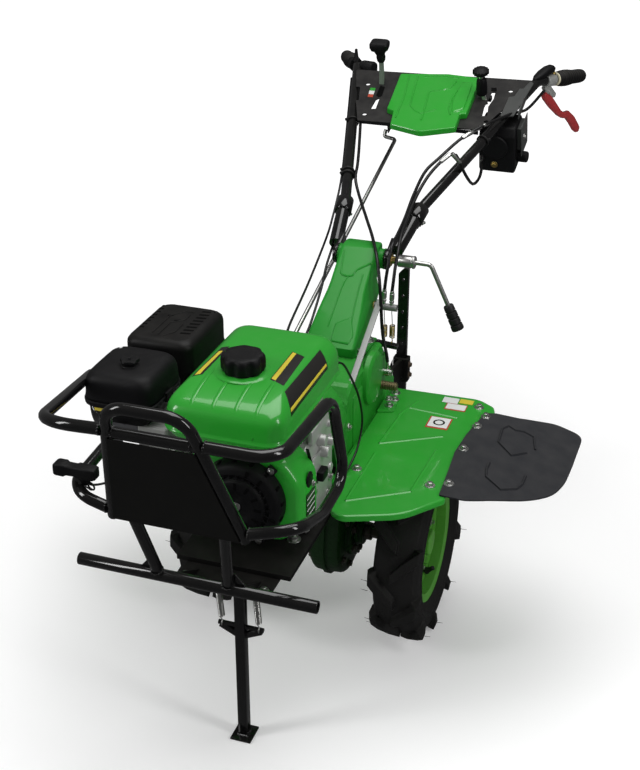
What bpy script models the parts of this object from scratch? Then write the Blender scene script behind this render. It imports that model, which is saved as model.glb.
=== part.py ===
"""A two-wheeled garden tiller with an engine in front, a bumper frame, a parking stand and long handlebars.

Run it with: blender --background --python part.py

Metres, +Z up. +X is the machine's left, -Y its front. Heights named ..._H are above the chassis
datum, a level just under the tyres' tops that rises with them, and ..._Y is behind the wheel axle.
"""

from math import cos, hypot, pi, radians, sin, sqrt, tan

import bmesh
import bpy
from mathutils import Matrix, Vector

for old in list(bpy.data.objects):
    bpy.data.objects.remove(old)

# ---------------------------------------------------------------- driving sizes

GAP = 0.0003  # between pieces that touch
PIN_CLEARANCE = 0.0005  # round a pin, a shaft or a bar in its hole
SHEET = 0.003  # pressed steel

TYRE_R = 0.208
TYRE_W = 0.098
TRACK = 0.432  # between the two tyres' middles
WHEEL_OUT = TRACK / 2 + TYRE_W / 2  # the tyres' outer faces
RIM_R = 0.1285  # at the flange
RIM_W = 0.074
RIM_WALL = 0.003
WELL_R = 0.0985
HUB_R = 0.026
HUB_REACH = 0.055  # of the hub inwards from the wheel's middle
SHAFT_FLATS = 0.023
SHAFT_R = SHAFT_FLATS / sqrt(3)

DATUM = 2 * TYRE_R - 0.016  # the chassis datum's height above the ground

DRIVE_X = 0.026  # the gear train's middle, left of the machine's
DRIVE_W = 0.092
DRIVE_R = 0.105
DRIVE_FRONT_Y = -0.075
DRIVE_REAR_Y = 0.090
BOSS_R = 0.055
BOSS_T = 0.012
NECK_R = 0.026
NECK_T = 0.013

CASE_X = (-0.065, 0.085)
CASE_BOTTOM_H = -0.020
CASE_TOP_H = 0.1887
CASE_FRONT_Y = -0.100
CASE_REAR_Y = 0.250
CLUTCH_R = 0.085
SHIFT_SHAFT = (0, 0.150, 0.116)  # sticks out of the case's left side
SHIFT_SHAFT_R = 0.006

CRANK_H = 0.126
BASE_TOP_H = 0.015
BASE_HALF = 0.110
BASE_T = 0.0097
BASE_FRONT_Y = -0.490
SKID_HALF = 0.090
SKID_T = 0.0033
SKID_FRONT_Y = -0.552
SKID_REAR_Y = -0.360

ENGINE_REAR_Y = -0.215
ENGINE_FRONT_Y = -0.355
ENGINE_X = (-0.105, 0.095)
ENGINE_TOP_H = 0.200
HEAD_X = -0.215
HEAD_Y = (-0.350, -0.220)
HEAD_H = (0.100, 0.220)
FAN_T = 0.0745
RECOIL_R = 0.082
RECOIL_T = 0.040

TANK_X = (-0.120, 0.100)
TANK_Y = (-0.500, -0.160)
TANK_H = 0.250
TANK_SEAM_H = 0.300
TANK_TOP_H = 0.345
CAP_X = -0.020
CAP_Y = -0.367
CAP_R = 0.0405
CAP_T = 0.021

CLEANER_X = (-0.299, -0.168)
CLEANER_Y = (-0.450, -0.300)
CLEANER_H = 0.230
CLEANER_LIP_H = 0.280
MUFFLER_X = (-0.2945, -0.1785)
MUFFLER_Y = (-0.2605, -0.0975)
MUFFLER_H = (0.2255, 0.3175)
GUARD_T = 0.0015
GUARD_H = 0.262

RAIL_R = 0.010
RAIL_HALF = 0.200  # the left side loop's middle
FLARED_RAIL_X = 0.190  # the right side loop's, at its front
CROSS_R = 0.011
CROSS_WALL = 0.002
CROSS_HALF = 0.217
CROSS_Y = -0.648
CROSS_H = 0.085
RAKE = -0.365  # the bumper frame leans forward as it rises
TOP_TUBE_H = 0.4255
UPPER_RAIL_H = 0.428
LOWER_RAIL_H = 0.243
HOOP_FOOT = (0.115, 0.226)  # half width, height
HOOP_TOP = (0.064, 0.480)
PLATE_LAP = 0.005  # from the plate's edge to the hoop's middle line
PLATE_H = (0.2275, 0.4165)
LEG_TOP_H = 0.250
LEGS = {"left": (0.082, 0.059), "right": (-0.082, -0.067)}  # across at the top, at the cross tube

STAND_Y = -0.461
STAND_PIVOT_H = -0.040
STAND_W = 0.020
STAND_FOOT = (0.042, 0.048, 0.004)
STAND_EYE_DROP = 0.100  # from the stand's pivot to the spring eyes
STAND_PIN_R = 0.0055
CHEEK_X = 0.0135
SPRING_X = 0.037
SPRING_R = 0.006
SPRING_PIN_R = 0.004
SPRING_ANCHOR = (-0.020, 0.020)  # back and up from the stand's pivot

FENDER_H = 0.045
FENDER_T = 0.0023
FENDER_RIM = 0.0123
FLAP_T = 0.003

COLUMN_HALF = 0.040
COLUMN_FOOT_HALF = 0.058
COLUMN_TOP_H = 0.355
PIVOT_Y = 0.270
PIVOT_H = 0.325
PIVOT_R = 0.006
HINGE_R = 0.020
HINGE_T = 0.012
HINGE_PLATE_T = 0.010
ARM_R = 0.0165
TUBE_R = 0.012
GRIP_R = 0.016
GRIP_LENGTH = 0.115
PANEL_T = 0.003

BAR_X = 0.0525
BAR_Y = 0.426
BAR_W = 0.024
BAR_T = 0.012
BAR_H = (-0.165, 0.245)
BAR_HOLE_PITCH = 0.040
BAR_HOLE_R = 0.005
HOLDER_WALL = 0.006
HOLDER_H = (-0.040, 0.020)

# name: base colour, roughness, metallic
FINISHES = {
    "green_paint": ((0.12, 0.56, 0.08), 0.3, 0.0),
    "black_paint": ((0.012, 0.012, 0.013), 0.35, 0.0),
    "bare_steel": ((0.55, 0.54, 0.52), 0.35, 1.0),
    "cast_alloy": ((0.62, 0.62, 0.61), 0.45, 1.0),
    "brass": ((0.66, 0.48, 0.22), 0.35, 1.0),
    "black_plastic": ((0.015, 0.015, 0.016), 0.45, 0.0),
    "black_rubber": ((0.02, 0.02, 0.021), 0.8, 0.0),
    "red_lever": ((0.50, 0.035, 0.03), 0.4, 0.0),
}


# ---------------------------------------------------------------- making shapes


def finish_named(name):
    found = bpy.data.materials.get(name)
    if found:
        return found
    colour, roughness, metallic = FINISHES[name]
    made = bpy.data.materials.new(name)
    made.use_nodes = True
    shader = made.node_tree.nodes["Principled BSDF"]
    shader.inputs["Base Color"].default_value = (*colour, 1)
    shader.inputs["Roughness"].default_value = roughness
    shader.inputs["Metallic"].default_value = metallic
    return made


def carrier(name, place, parent=None):
    """An empty at a body's joint, or at a datum, that carries the body's pieces."""
    empty = bpy.data.objects.new(name, None)
    bpy.context.scene.collection.objects.link(empty)
    empty.parent = parent
    empty.location = Vector(place) - (world_place(parent) if parent else Vector())
    return empty


def world_place(obj):
    place = Vector(obj.location)
    while obj.parent:
        obj = obj.parent
        place += obj.location
    return place


def object_of(name, shape):
    mesh = bpy.data.meshes.new(name)
    shape.to_mesh(mesh)
    shape.free()
    obj = bpy.data.objects.new(name, mesh)
    bpy.context.scene.collection.objects.link(obj)
    return obj


def combined(name, shapes, operations):
    """The first shape with each later one united with it or cut from it."""
    base = object_of(name, shapes[0])
    helpers = [object_of(name + "_helper", shape) for shape in shapes[1:]]
    for helper, operation in zip(helpers, operations):
        step = base.modifiers.new(operation.lower(), "BOOLEAN")
        step.operation = operation
        step.solver = "EXACT"
        step.object = helper
    graph = bpy.context.evaluated_depsgraph_get()
    mesh = bpy.data.meshes.new_from_object(base.evaluated_get(graph))
    base.modifiers.clear()
    base.data = mesh
    for helper in helpers:
        bpy.data.objects.remove(helper)
    return base


def piece(name, on, finish, shapes, cuts=(), level=DATUM):
    """A named piece: shapes united, cuts removed. Its shapes' heights are above the given level."""
    shapes = [shapes] if isinstance(shapes, bmesh.types.BMesh) else list(shapes)
    operations = ["UNION"] * (len(shapes) - 1) + ["DIFFERENCE"] * len(cuts)
    obj = combined(name, shapes + list(cuts), operations)
    obj.name = name
    obj.data.name = name
    obj.data.transform(Matrix.Translation(Vector((0, 0, level)) - world_place(on)))
    obj.parent = on
    obj.data.materials.clear()
    obj.data.materials.append(finish_named(finish))
    obj.data.shade_smooth()
    obj.data.set_sharp_from_angle(angle=radians(35))
    return obj


def skinned(rings, loop=False):
    """Rings of equal length joined in order. A ring of one point closes the shape to that point."""
    shape = bmesh.new()
    rows = [[shape.verts.new(point) for point in ring] for ring in rings]
    pairs = list(zip(rows, rows[1:] + rows[:1])) if loop else list(zip(rows, rows[1:]))
    for one, two in pairs:
        count = max(len(one), len(two))
        for i in range(count):
            j = (i + 1) % count
            corners = [one[i % len(one)], one[j % len(one)], two[j % len(two)], two[i % len(two)]]
            shape.faces.new(list(dict.fromkeys(corners)))
    for row in () if loop else (rows[0], rows[-1]):
        if len(row) > 2:
            shape.faces.new(row)
    bmesh.ops.recalc_face_normals(shape, faces=shape.faces)
    return shape


def on_axis(axis, along, one, two):
    return {"X": (along, one, two), "Y": (one, along, two), "Z": (one, two, along)}[axis]


def prism(outline, span, axis="Z"):
    """An outline in the other two axes, in X, Y, Z order, drawn out along the axis."""
    return skinned([[on_axis(axis, end, *point) for point in outline] for end in span])


def block(x, y, h, soft=0.0):
    shape = prism([(x[0], y[0]), (x[1], y[0]), (x[1], y[1]), (x[0], y[1])], h)
    return softened(shape, soft) if soft else shape


def softened(shape, width, segments=1):
    edges = [edge for edge in shape.edges if edge.calc_face_angle(0) > radians(40)]
    bmesh.ops.bevel(
        shape, geom=edges, offset=width, segments=segments, profile=0.5, affect="EDGES", clamp_overlap=True
    )
    return shape


def turned(profile, centre, axis="X", sides=24, loop=False, turn=0.0):
    """A profile of (place along the axis, radius) turned about a line through the centre."""
    rings = []
    for along, radius in profile:
        count = sides if radius > 0 else 1
        ring = []
        for i in range(count):
            angle = turn + 2 * pi * i / sides
            local = Vector(on_axis(axis, along, radius * cos(angle), radius * sin(angle)))
            ring.append(local + Vector(centre))
        rings.append(ring)
    return skinned(rings, loop)


def disc(radius, span, centre, axis="X", sides=24):
    """A plain round bar. The centre's own coordinate along the axis is added to the span."""
    return turned([(span[0], 0), (span[0], radius), (span[1], radius), (span[1], 0)], centre, axis, sides)


def rounded_route(corners, bend_steps=5):
    """A polyline of (x, y, h, bend radius) corners with each bend drawn as an arc."""
    route = [Vector(corners[0][:3])]
    for before, corner, after in zip(corners, corners[1:], corners[2:]):
        place = Vector(corner[:3])
        back = (Vector(before[:3]) - place).normalized()
        ahead = (Vector(after[:3]) - place).normalized()
        half = back.angle(ahead) / 2
        reach = corner[3] / tan(half)
        middle = place + (back + ahead).normalized() * corner[3] / sin(half)
        start = place + back * reach - middle
        end = place + ahead * reach - middle
        axis = start.cross(end)
        turn = start.angle(end)
        for i in range(bend_steps + 1):
            route.append(middle + Matrix.Rotation(turn * i / bend_steps, 3, axis) @ start)
    return route + [Vector(corners[-1][:3])]


def rod(route, radii, sides=10):
    """A round bar along a route, with one radius or one for each point. Its rings meet at the mitres."""
    route = [Vector(point) for point in route]
    if not isinstance(radii, (list, tuple)):
        radii = [radii] * len(route)
    ahead = (route[1] - route[0]).normalized()
    side = ahead.orthogonal().normalized()
    rings = []
    for i, place in enumerate(route):
        into = (place - route[i - 1]).normalized() if i else ahead
        out = (route[i + 1] - place).normalized() if i + 1 < len(route) else into
        side = into.rotation_difference(out) @ (ahead.rotation_difference(into) @ side)
        ahead = out
        cut = (into + out).normalized()
        ring = []
        for k in range(sides):
            arm = Matrix.Rotation(2 * pi * k / sides, 3, out) @ side * radii[i]
            slide = arm.dot(cut) / out.dot(cut)
            ring.append(place + arm - out * slide)
        rings.append(ring)
    return skinned(rings)


def rounded_box_ring(x, y, h, corner, steps=3):
    """The corners of a rectangle at one height, each rounded by its radius."""
    ring = []
    for cx, cy, start in ((x[1], y[1], 0), (x[0], y[1], 90), (x[0], y[0], 180), (x[1], y[0], 270)):
        inward = (-1 if cx == x[1] else 1, -1 if cy == y[1] else 1)
        for i in range(steps + 1):
            angle = radians(start + 90 * i / steps)
            ring.append(
                (
                    cx + inward[0] * corner + corner * cos(angle),
                    cy + inward[1] * corner + corner * sin(angle),
                    h,
                )
            )
    return ring


def tapered(shape, half_width, foot_half_width, from_h, to_h):
    """Widens a shape of the given half width evenly between two heights."""
    everything = shape.verts[:] + shape.edges[:] + shape.faces[:]
    bmesh.ops.bisect_plane(shape, geom=everything, plane_co=(0, 0, from_h), plane_no=(0, 0, 1))
    for vert in shape.verts:
        share = min(max((from_h - vert.co.z) / (from_h - to_h), 0), 1)
        vert.co.x *= 1 + share * (foot_half_width / half_width - 1)
    return shape


def sides_of(left_x):
    return (("left", 1, left_x), ("right", -1, -left_x))


# ---------------------------------------------------------------- carriers, one for each body

machine = carrier("machine", (0, 0, 0))
wheels = carrier("wheels", (0, 0, TYRE_R), machine)
stand = carrier("stand", (0, STAND_Y, DATUM + STAND_PIVOT_H), machine)
springs = carrier(
    "stand_springs",
    (0, STAND_Y + SPRING_ANCHOR[0], DATUM + STAND_PIVOT_H + SPRING_ANCHOR[1]),
    machine,
)
handlebar = carrier("handlebar", (0, PIVOT_Y, DATUM + PIVOT_H), machine)
SHIFT_EYE = (-0.1063, 0.060, 0.160)
shifter = carrier("shifter", (SHIFT_EYE[0], SHIFT_EYE[1], DATUM + SHIFT_EYE[2]), machine)
drag = carrier("drag", (BAR_X, BAR_Y, DATUM), machine)


# ---------------------------------------------------------------- wheels and axle


def wheel_pieces():
    shaft_end = TRACK / 2 + HUB_R
    piece(
        "axle_shaft",
        wheels,
        "bare_steel",
        disc(SHAFT_R, (-shaft_end, shaft_end), (0, 0, 0), sides=6),
        level=TYRE_R,
    )
    flange, half = RIM_R, RIM_W / 2
    seat = WELL_R + 0.014
    bore = SHAFT_R + PIN_CLEARANCE
    web = 0.002
    # place across the wheel, radius: over the tyre's side, then back along the hub's side
    rim = [
        (-half, flange),
        (-half + 0.0035, flange),
        (-half + 0.0065, seat),
        (-0.014, seat),
        (-0.009, WELL_R),
        (0.009, WELL_R),
        (0.014, seat),
        (half - 0.0065, seat),
        (half - 0.0035, flange),
        (half, flange),
        (half - 0.0035, seat - RIM_WALL),
        (0.012, seat - RIM_WALL),
        (0.0075, WELL_R - RIM_WALL),
        (0.002 + 2 * web, WELL_R - RIM_WALL),
        (0.002 + 2 * web, HUB_R),
        (half - 0.007, HUB_R),
        (half - 0.007, bore),
        (-HUB_REACH, bore),
        (-HUB_REACH, HUB_R),
        (0.002, HUB_R),
        (0.002, WELL_R - RIM_WALL),
        (-0.0075, WELL_R - RIM_WALL),
        (-0.012, seat - RIM_WALL),
        (-half + 0.0035, seat - RIM_WALL),
    ]
    bead = half - 0.0065 - GAP
    # place across the tyre, radius
    tyre_half = [
        (bead, seat + 0.0005),
        (bead + 0.0026, flange + GAP),
        (TYRE_W / 2 - 0.006, flange + 0.010),
        (TYRE_W / 2, (flange + TYRE_R) / 2),
        (TYRE_W / 2 - 0.003, TYRE_R - 0.022),
        (TYRE_W / 2 - 0.011, TYRE_R - 0.007),
        (0.018, TYRE_R),
    ]
    tyre = [(-along, radius) for along, radius in tyre_half] + tyre_half[::-1]
    for side, sign, x in sides_of(TRACK / 2):
        centre = (x, 0, 0)
        faced = [(sign * along, radius) for along, radius in rim]
        piece(
            f"wheel_rim_{side}",
            wheels,
            "green_paint",
            turned(faced, centre, sides=32, loop=True),
            level=TYRE_R,
        )
        piece(
            f"tyre_{side}",
            wheels,
            "black_rubber",
            turned(tyre, centre, sides=36, loop=True),
            level=TYRE_R,
        )


# ---------------------------------------------------------------- gear train


def gear_train():
    drive_x = (DRIVE_X - DRIVE_W / 2, DRIVE_X + DRIVE_W / 2)
    top = DATUM - TYRE_R + CASE_BOTTOM_H - GAP
    arc = [
        (DRIVE_R * cos(radians(a)), DRIVE_R * sin(radians(a))) for a in range(-195, 16, 15)
    ]
    outline = [(DRIVE_FRONT_Y, top)] + arc + [(DRIVE_REAR_Y, top)]
    bosses = []
    for sign, face in ((-1, drive_x[0]), (1, drive_x[1])):
        steps = [(-0.004, 0), (-0.004, BOSS_R), (BOSS_T, BOSS_R), (BOSS_T, NECK_R)]
        steps += [(BOSS_T + NECK_T, NECK_R), (BOSS_T + NECK_T, 0)]
        bosses.append(turned([(sign * along, radius) for along, radius in steps], (face, 0, 0)))
    bore = disc(SHAFT_R + PIN_CLEARANCE, (-0.2, 0.2), (DRIVE_X, 0, 0), sides=16)
    body = softened(prism(outline, drive_x, "X"), 0.005)
    piece("final_drive", machine, "green_paint", [body] + bosses, [bore], level=TYRE_R)

    # side outline: back from the axle, height
    outline = [
        (CASE_FRONT_Y, CASE_BOTTOM_H),
        (CASE_FRONT_Y, CASE_TOP_H - 0.029),
        (CASE_FRONT_Y + 0.030, CASE_TOP_H),
        (0.145, CASE_TOP_H),
        (CASE_REAR_Y, 0.060),
        (CASE_REAR_Y, CASE_BOTTOM_H),
    ]
    clutch = disc(
        CLUTCH_R, (ENGINE_REAR_Y + GAP, CASE_FRONT_Y + 0.005), (0, 0, CRANK_H), axis="Y", sides=28
    )
    shift_boss = disc(
        0.012,
        (CASE_X[0] - 0.005 + 0.01, SHIFT_EYE[0] + 0.010),
        (0, SHIFT_EYE[1], SHIFT_EYE[2]),
        sides=12,
    )
    shaft = disc(SHIFT_SHAFT_R, (CASE_X[1] - 0.005, CASE_X[1] + 0.020), SHIFT_SHAFT, sides=12)
    piece(
        "gearbox_case",
        machine,
        "green_paint",
        [softened(prism(outline, CASE_X, "X"), 0.006), clutch, shift_boss, shaft],
    )


# ---------------------------------------------------------------- chassis plates and bumper


def frame_y(h):
    """The bumper frame's leaning plane: its place along the machine at a height."""
    return CROSS_Y + RAKE * (h - CROSS_H)


def chassis():
    base_h = (BASE_TOP_H - BASE_T, BASE_TOP_H)
    piece(
        "engine_base",
        machine,
        "black_paint",
        block((-BASE_HALF, BASE_HALF), (BASE_FRONT_Y, CASE_FRONT_Y - GAP), base_h),
    )
    skid_top = base_h[0] - GAP
    skid_h = (skid_top - SKID_T, skid_top)
    uprights = []
    for x in (-0.060, 0.060):
        outline = [
            (SKID_FRONT_Y + 0.004, skid_h[0] + 0.001),
            (CROSS_Y + 0.004, CROSS_H - CROSS_R - GAP),
            (CROSS_Y + CROSS_R + 0.002, CROSS_H - 0.006),
            (SKID_FRONT_Y + 0.050, skid_h[0] + 0.001),
        ]
        uprights.append(prism(outline, (x - 0.002, x + 0.002), "X"))
    plate = block((-SKID_HALF, SKID_HALF), (SKID_FRONT_Y, SKID_REAR_Y), skid_h)
    piece("skid_plate", machine, "black_paint", [plate] + uprights)
    return skid_h[0]


def hoop_x(h):
    """The hoop's middle line across the machine, at a height on its straight sides."""
    share = (h - HOOP_FOOT[1]) / (HOOP_TOP[1] - HOOP_FOOT[1])
    return HOOP_FOOT[0] + share * (HOOP_TOP[0] - HOOP_FOOT[0])


def side_rail_corners(x, start, end):
    """The left side rail's corners, from the hoop round to the hoop's foot."""
    return [
        start,
        (x, start[1], start[2], 0.045),
        (x, -0.530, 0.410, 0.060),
        (x, -0.460, 0.222, 0.035),
        (x, -0.580, 0.220, 0.100),
        (x, -0.698, 0.262, 0.040),
        end,
    ]


def flared_rail_corners(x, start, end):
    """The right side rail's corners. It flares out round the air cleaner and comes back under it."""
    outside = CLEANER_X[0] - 0.051
    under = CLEANER_H - RAIL_R - 0.015
    return [
        start,
        (-x, start[1] - 0.003, start[2] - 0.003, 0.085),
        (outside, CLEANER_Y[1] - 0.011, 0.263, 0.045),
        (outside + 0.005, CLEANER_Y[1] - 0.030, under - 0.025, 0.035),
        (-0.238, CLEANER_Y[0] + 0.010, under - 0.010, 0.050),
        (-x - 0.006, -0.560, 0.266, 0.050),
        (-x - 0.004, -0.700, 0.258, 0.050),
        end,
    ]


def bumper():
    # a tube open at its ends, with the hoop's two legs welded on
    tube = disc(CROSS_R, (-CROSS_HALF, CROSS_HALF), (0, CROSS_Y, CROSS_H), sides=20)
    ends = [
        disc(CROSS_R - CROSS_WALL, tuple(sorted((sign * (CROSS_HALF - 0.060), sign * 0.3))),
             (0, CROSS_Y, CROSS_H), sides=20)
        for sign in (-1, 1)
    ]
    legs = []
    for top_x, foot_x in LEGS.values():
        route = [
            (foot_x, CROSS_Y + 0.001, CROSS_H + 0.002),
            (top_x, frame_y(LEG_TOP_H) + 0.002, LEG_TOP_H),
        ]
        legs.append(rod(route, RAIL_R))
    piece("cross_tube", machine, "black_paint", [tube] + legs, ends)

    foot = (HOOP_FOOT[0], frame_y(HOOP_FOOT[1]), HOOP_FOOT[1], 0)
    top = (HOOP_TOP[0], frame_y(HOOP_TOP[1]), HOOP_TOP[1], 0.040)
    left = [foot, top]
    right = [(-x, y, h, bend) for x, y, h, bend in reversed(left)]
    inner = hoop_x(TOP_TUBE_H)
    bar = (frame_y(TOP_TUBE_H), TOP_TUBE_H)
    hoop = rod(rounded_route(left + right), RAIL_R)
    piece(
        "bumper_hoop",
        machine,
        "black_paint",
        [hoop, rod([(-inner, *bar), (inner, *bar)], RAIL_R * 0.97)],
    )
    splay = (HOOP_FOOT[0] - HOOP_TOP[0]) / (HOOP_TOP[1] - HOOP_FOOT[1])
    reach = RAIL_R * (hypot(1, splay) + splay) + GAP
    shapes = {"left": side_rail_corners, "right": flared_rail_corners}
    widths = {"left": RAIL_HALF, "right": FLARED_RAIL_X}
    for side, sign, _ in sides_of(RAIL_HALF):
        start = (sign * (hoop_x(UPPER_RAIL_H) + reach), frame_y(UPPER_RAIL_H), UPPER_RAIL_H, 0)
        end = (sign * (hoop_x(LOWER_RAIL_H) + reach), frame_y(LOWER_RAIL_H), LOWER_RAIL_H, 0)
        corners = shapes[side](widths[side], start, end)
        piece(f"bumper_rail_{side}", machine, "black_paint", rod(rounded_route(corners), RAIL_R))

    lap_depth = sqrt(RAIL_R**2 - PLATE_LAP**2)
    face = (lap_depth + GAP) * hypot(1, RAKE)
    rings = []
    for back in (0, -SHEET):
        low, high = ((hoop_x(h) - PLATE_LAP, frame_y(h) - face + back, h) for h in PLATE_H)
        rings.append([(-low[0], *low[1:]), low, high, (-high[0], *high[1:])])
    piece("bumper_plate", machine, "black_paint", skinned(rings))


# ---------------------------------------------------------------- parking stand


def parking_stand(skid_bottom_h):
    pivot = (0, STAND_Y, STAND_PIVOT_H)
    anchor = (0, STAND_Y + SPRING_ANCHOR[0], STAND_PIVOT_H + SPRING_ANCHOR[1])
    cheek_h = (STAND_PIVOT_H - 0.016, skid_bottom_h - GAP)
    cheek_y = (STAND_Y - 0.030, STAND_Y + 0.016)
    cheeks = [
        block(tuple(sorted((sign * CHEEK_X, sign * (CHEEK_X + 0.004)))), cheek_y, cheek_h)
        for sign in (-1, 1)
    ]
    pin_half = CHEEK_X + 0.009
    anchor_half = SPRING_X + 0.008
    pins = [
        disc(STAND_PIN_R, (-pin_half, pin_half), pivot, sides=16),
        disc(SPRING_PIN_R, (-anchor_half, anchor_half), anchor, sides=12),
    ]
    piece("stand_bracket", machine, "black_paint", cheeks + pins)

    half = STAND_W / 2
    ground = -DATUM
    post = block(
        (-half, half),
        (STAND_Y - half, STAND_Y + half),
        (ground + STAND_FOOT[2] / 2, STAND_PIVOT_H + 0.012),
    )
    foot = block(
        (-STAND_FOOT[0] / 2, STAND_FOOT[0] / 2),
        (STAND_Y - STAND_FOOT[1] / 2, STAND_Y + STAND_FOOT[1] / 2),
        (ground, ground + STAND_FOOT[2]),
    )
    eye = (0, STAND_Y, STAND_PIVOT_H - STAND_EYE_DROP)
    ears = disc(SPRING_PIN_R, (-anchor_half, anchor_half), eye, sides=12)
    bore = disc(STAND_PIN_R + PIN_CLEARANCE, (-0.05, 0.05), pivot, sides=16)
    piece("stand_post", stand, "black_paint", [post, foot, ears], [bore])

    run = Vector(eye) - Vector(anchor)
    ahead = run.normalized()
    bore = SPRING_PIN_R + PIN_CLEARANCE
    for side, _, x in sides_of(SPRING_X):
        shift = Vector((x, 0, 0))
        start = Vector(anchor) + shift
        end = Vector(eye) + shift - ahead * (SPRING_PIN_R + GAP)
        eye_ring = turned(
            [(-0.004, bore), (0.004, bore), (0.004, bore + 0.004), (-0.004, bore + 0.004)],
            start,
            sides=16,
            loop=True,
        )
        coil = rod([start + ahead * (bore + 0.002), end], SPRING_R, 10)
        piece(f"stand_spring_{side}", springs, "bare_steel", [coil, eye_ring])


# ---------------------------------------------------------------- engine


def engine():
    floor = BASE_TOP_H + GAP
    crankcase = block(ENGINE_X, (ENGINE_FRONT_Y, ENGINE_REAR_Y - GAP), (floor, ENGINE_TOP_H), 0.006)
    saddle = block((-0.090, 0.080), (-0.340, -0.225), (ENGINE_TOP_H - 0.010, TANK_H - GAP))
    piece("crankcase", machine, "cast_alloy", [crankcase, saddle])
    piece(
        "cylinder",
        machine,
        "cast_alloy",
        block((HEAD_X, ENGINE_X[0] - GAP), HEAD_Y, HEAD_H, 0.006),
    )
    fan_y = (ENGINE_FRONT_Y - GAP - FAN_T, ENGINE_FRONT_Y - GAP)
    # front outline: across the machine, height
    outline = [
        (-0.112, 0.070),
        (-0.075, 0.038),
        (0.072, 0.038),
        (0.112, 0.078),
        (0.112, 0.172),
        (0.070, 0.212),
        (-0.080, 0.212),
        (-0.112, 0.190),
    ]
    piece("fan_shroud", machine, "green_paint", softened(prism(outline, fan_y, "Y"), 0.010, 2))
    face = fan_y[0] - GAP
    recoil = [
        (0, 0),
        (0, RECOIL_R),
        (-RECOIL_T * 0.6, RECOIL_R),
        (-RECOIL_T, RECOIL_R - 0.012),
        (-RECOIL_T, 0),
    ]
    piece(
        "recoil_cover", machine, "black_plastic", turned(recoil, (0, face, CRANK_H), "Y", sides=28)
    )
    piece(
        "carburettor",
        machine,
        "cast_alloy",
        block((-0.210, -0.150), (-0.420, HEAD_Y[0] - GAP), (0.130, CLEANER_H - GAP), 0.004),
    )
    fuel_tank()
    air_cleaner()
    exhaust()


def fuel_tank():
    # height, how far each side is drawn in from the seam's outline (left, right, front, rear), corner
    sections = [
        (TANK_H, 0.030, 0.030, 0.060, 0.035, 0.030),
        (TANK_H + 0.012, 0.010, 0.010, 0.022, 0.014, 0.036),
        (TANK_SEAM_H - 0.003, 0.004, 0.004, 0.004, 0.004, 0.040),
        (TANK_SEAM_H - 0.003, 0.000, 0.000, 0.000, 0.000, 0.042),
        (TANK_SEAM_H + 0.003, 0.000, 0.000, 0.000, 0.000, 0.042),
        (TANK_SEAM_H + 0.003, 0.004, 0.004, 0.004, 0.004, 0.040),
        (TANK_TOP_H - 0.012, 0.034, 0.006, 0.012, 0.008, 0.040),
        (TANK_TOP_H, 0.052, 0.014, 0.030, 0.018, 0.036),
    ]
    rings = []
    for h, left, right, front, rear, corner in sections:
        x = (TANK_X[0] + right, TANK_X[1] - left)
        y = (TANK_Y[0] + front, TANK_Y[1] - rear)
        rings.append(rounded_box_ring(x, y, h, corner))
    piece("fuel_tank", machine, "green_paint", skinned(rings))
    cap = [(GAP, 0), (GAP, CAP_R), (CAP_T - 0.005, CAP_R), (CAP_T, CAP_R - 0.006), (CAP_T, 0)]
    piece(
        "fuel_cap",
        machine,
        "black_plastic",
        turned(cap, (CAP_X, CAP_Y, TANK_TOP_H), "Z", sides=27),
    )


def air_cleaner():
    inset = 0.004
    base_x = (CLEANER_X[0] + inset, CLEANER_X[1] - inset)
    base_y = (CLEANER_Y[0] + inset, CLEANER_Y[1] - inset)
    rings = [
        rounded_box_ring((base_x[0] + 0.012, base_x[1] - 0.012), base_y, CLEANER_H, 0.020),
        rounded_box_ring(base_x, base_y, CLEANER_LIP_H, 0.026),
    ]
    piece("air_cleaner_base", machine, "black_plastic", skinned(rings))
    # height above the lip, how far the side is drawn in, corner
    sections = [(GAP, 0, 0.030), (0.012, 0, 0.030), (0.034, 0.006, 0.028), (0.049, 0.018, 0.024)]
    rings = []
    for up, inset, corner in sections:
        x = (CLEANER_X[0] + inset, CLEANER_X[1] - inset)
        y = (CLEANER_Y[0] + inset, CLEANER_Y[1] - inset)
        rings.append(rounded_box_ring(x, y, CLEANER_LIP_H + up, corner))
    piece("air_cleaner_cover", machine, "black_plastic", skinned(rings))
    # the pull grip rests against its rope guide, a ring on a stem that stands on the side rail
    ends = [Vector((-0.213, -0.692, 0.281)), Vector((-0.149, -0.682, 0.291))]
    way = (ends[1] - ends[0]).normalized()
    along = [(0, 0.008), (0.004, 0.0115), (0.061, 0.0115), (0.0655, 0.008)]
    bar = rod([ends[0] + way * far for far, _ in along], [radius for _, radius in along], 8)
    guide = Vector((-0.160, -0.683, 0.262))
    neck = rod([ends[0].lerp(ends[1], 0.55), guide], [0.007, 0.0045], 8)
    ring = turned(
        [(-0.004, 0), (-0.004, 0.008), (0.004, 0.008), (0.004, 0)], guide + Vector((0, 0, -0.002)), "Y", 14
    )
    stem = rod([guide, guide + Vector((0.003, 0.001, -0.0085))], 0.003, 6)
    piece("recoil_grip", machine, "black_plastic", [bar, neck, ring, stem])


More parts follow.
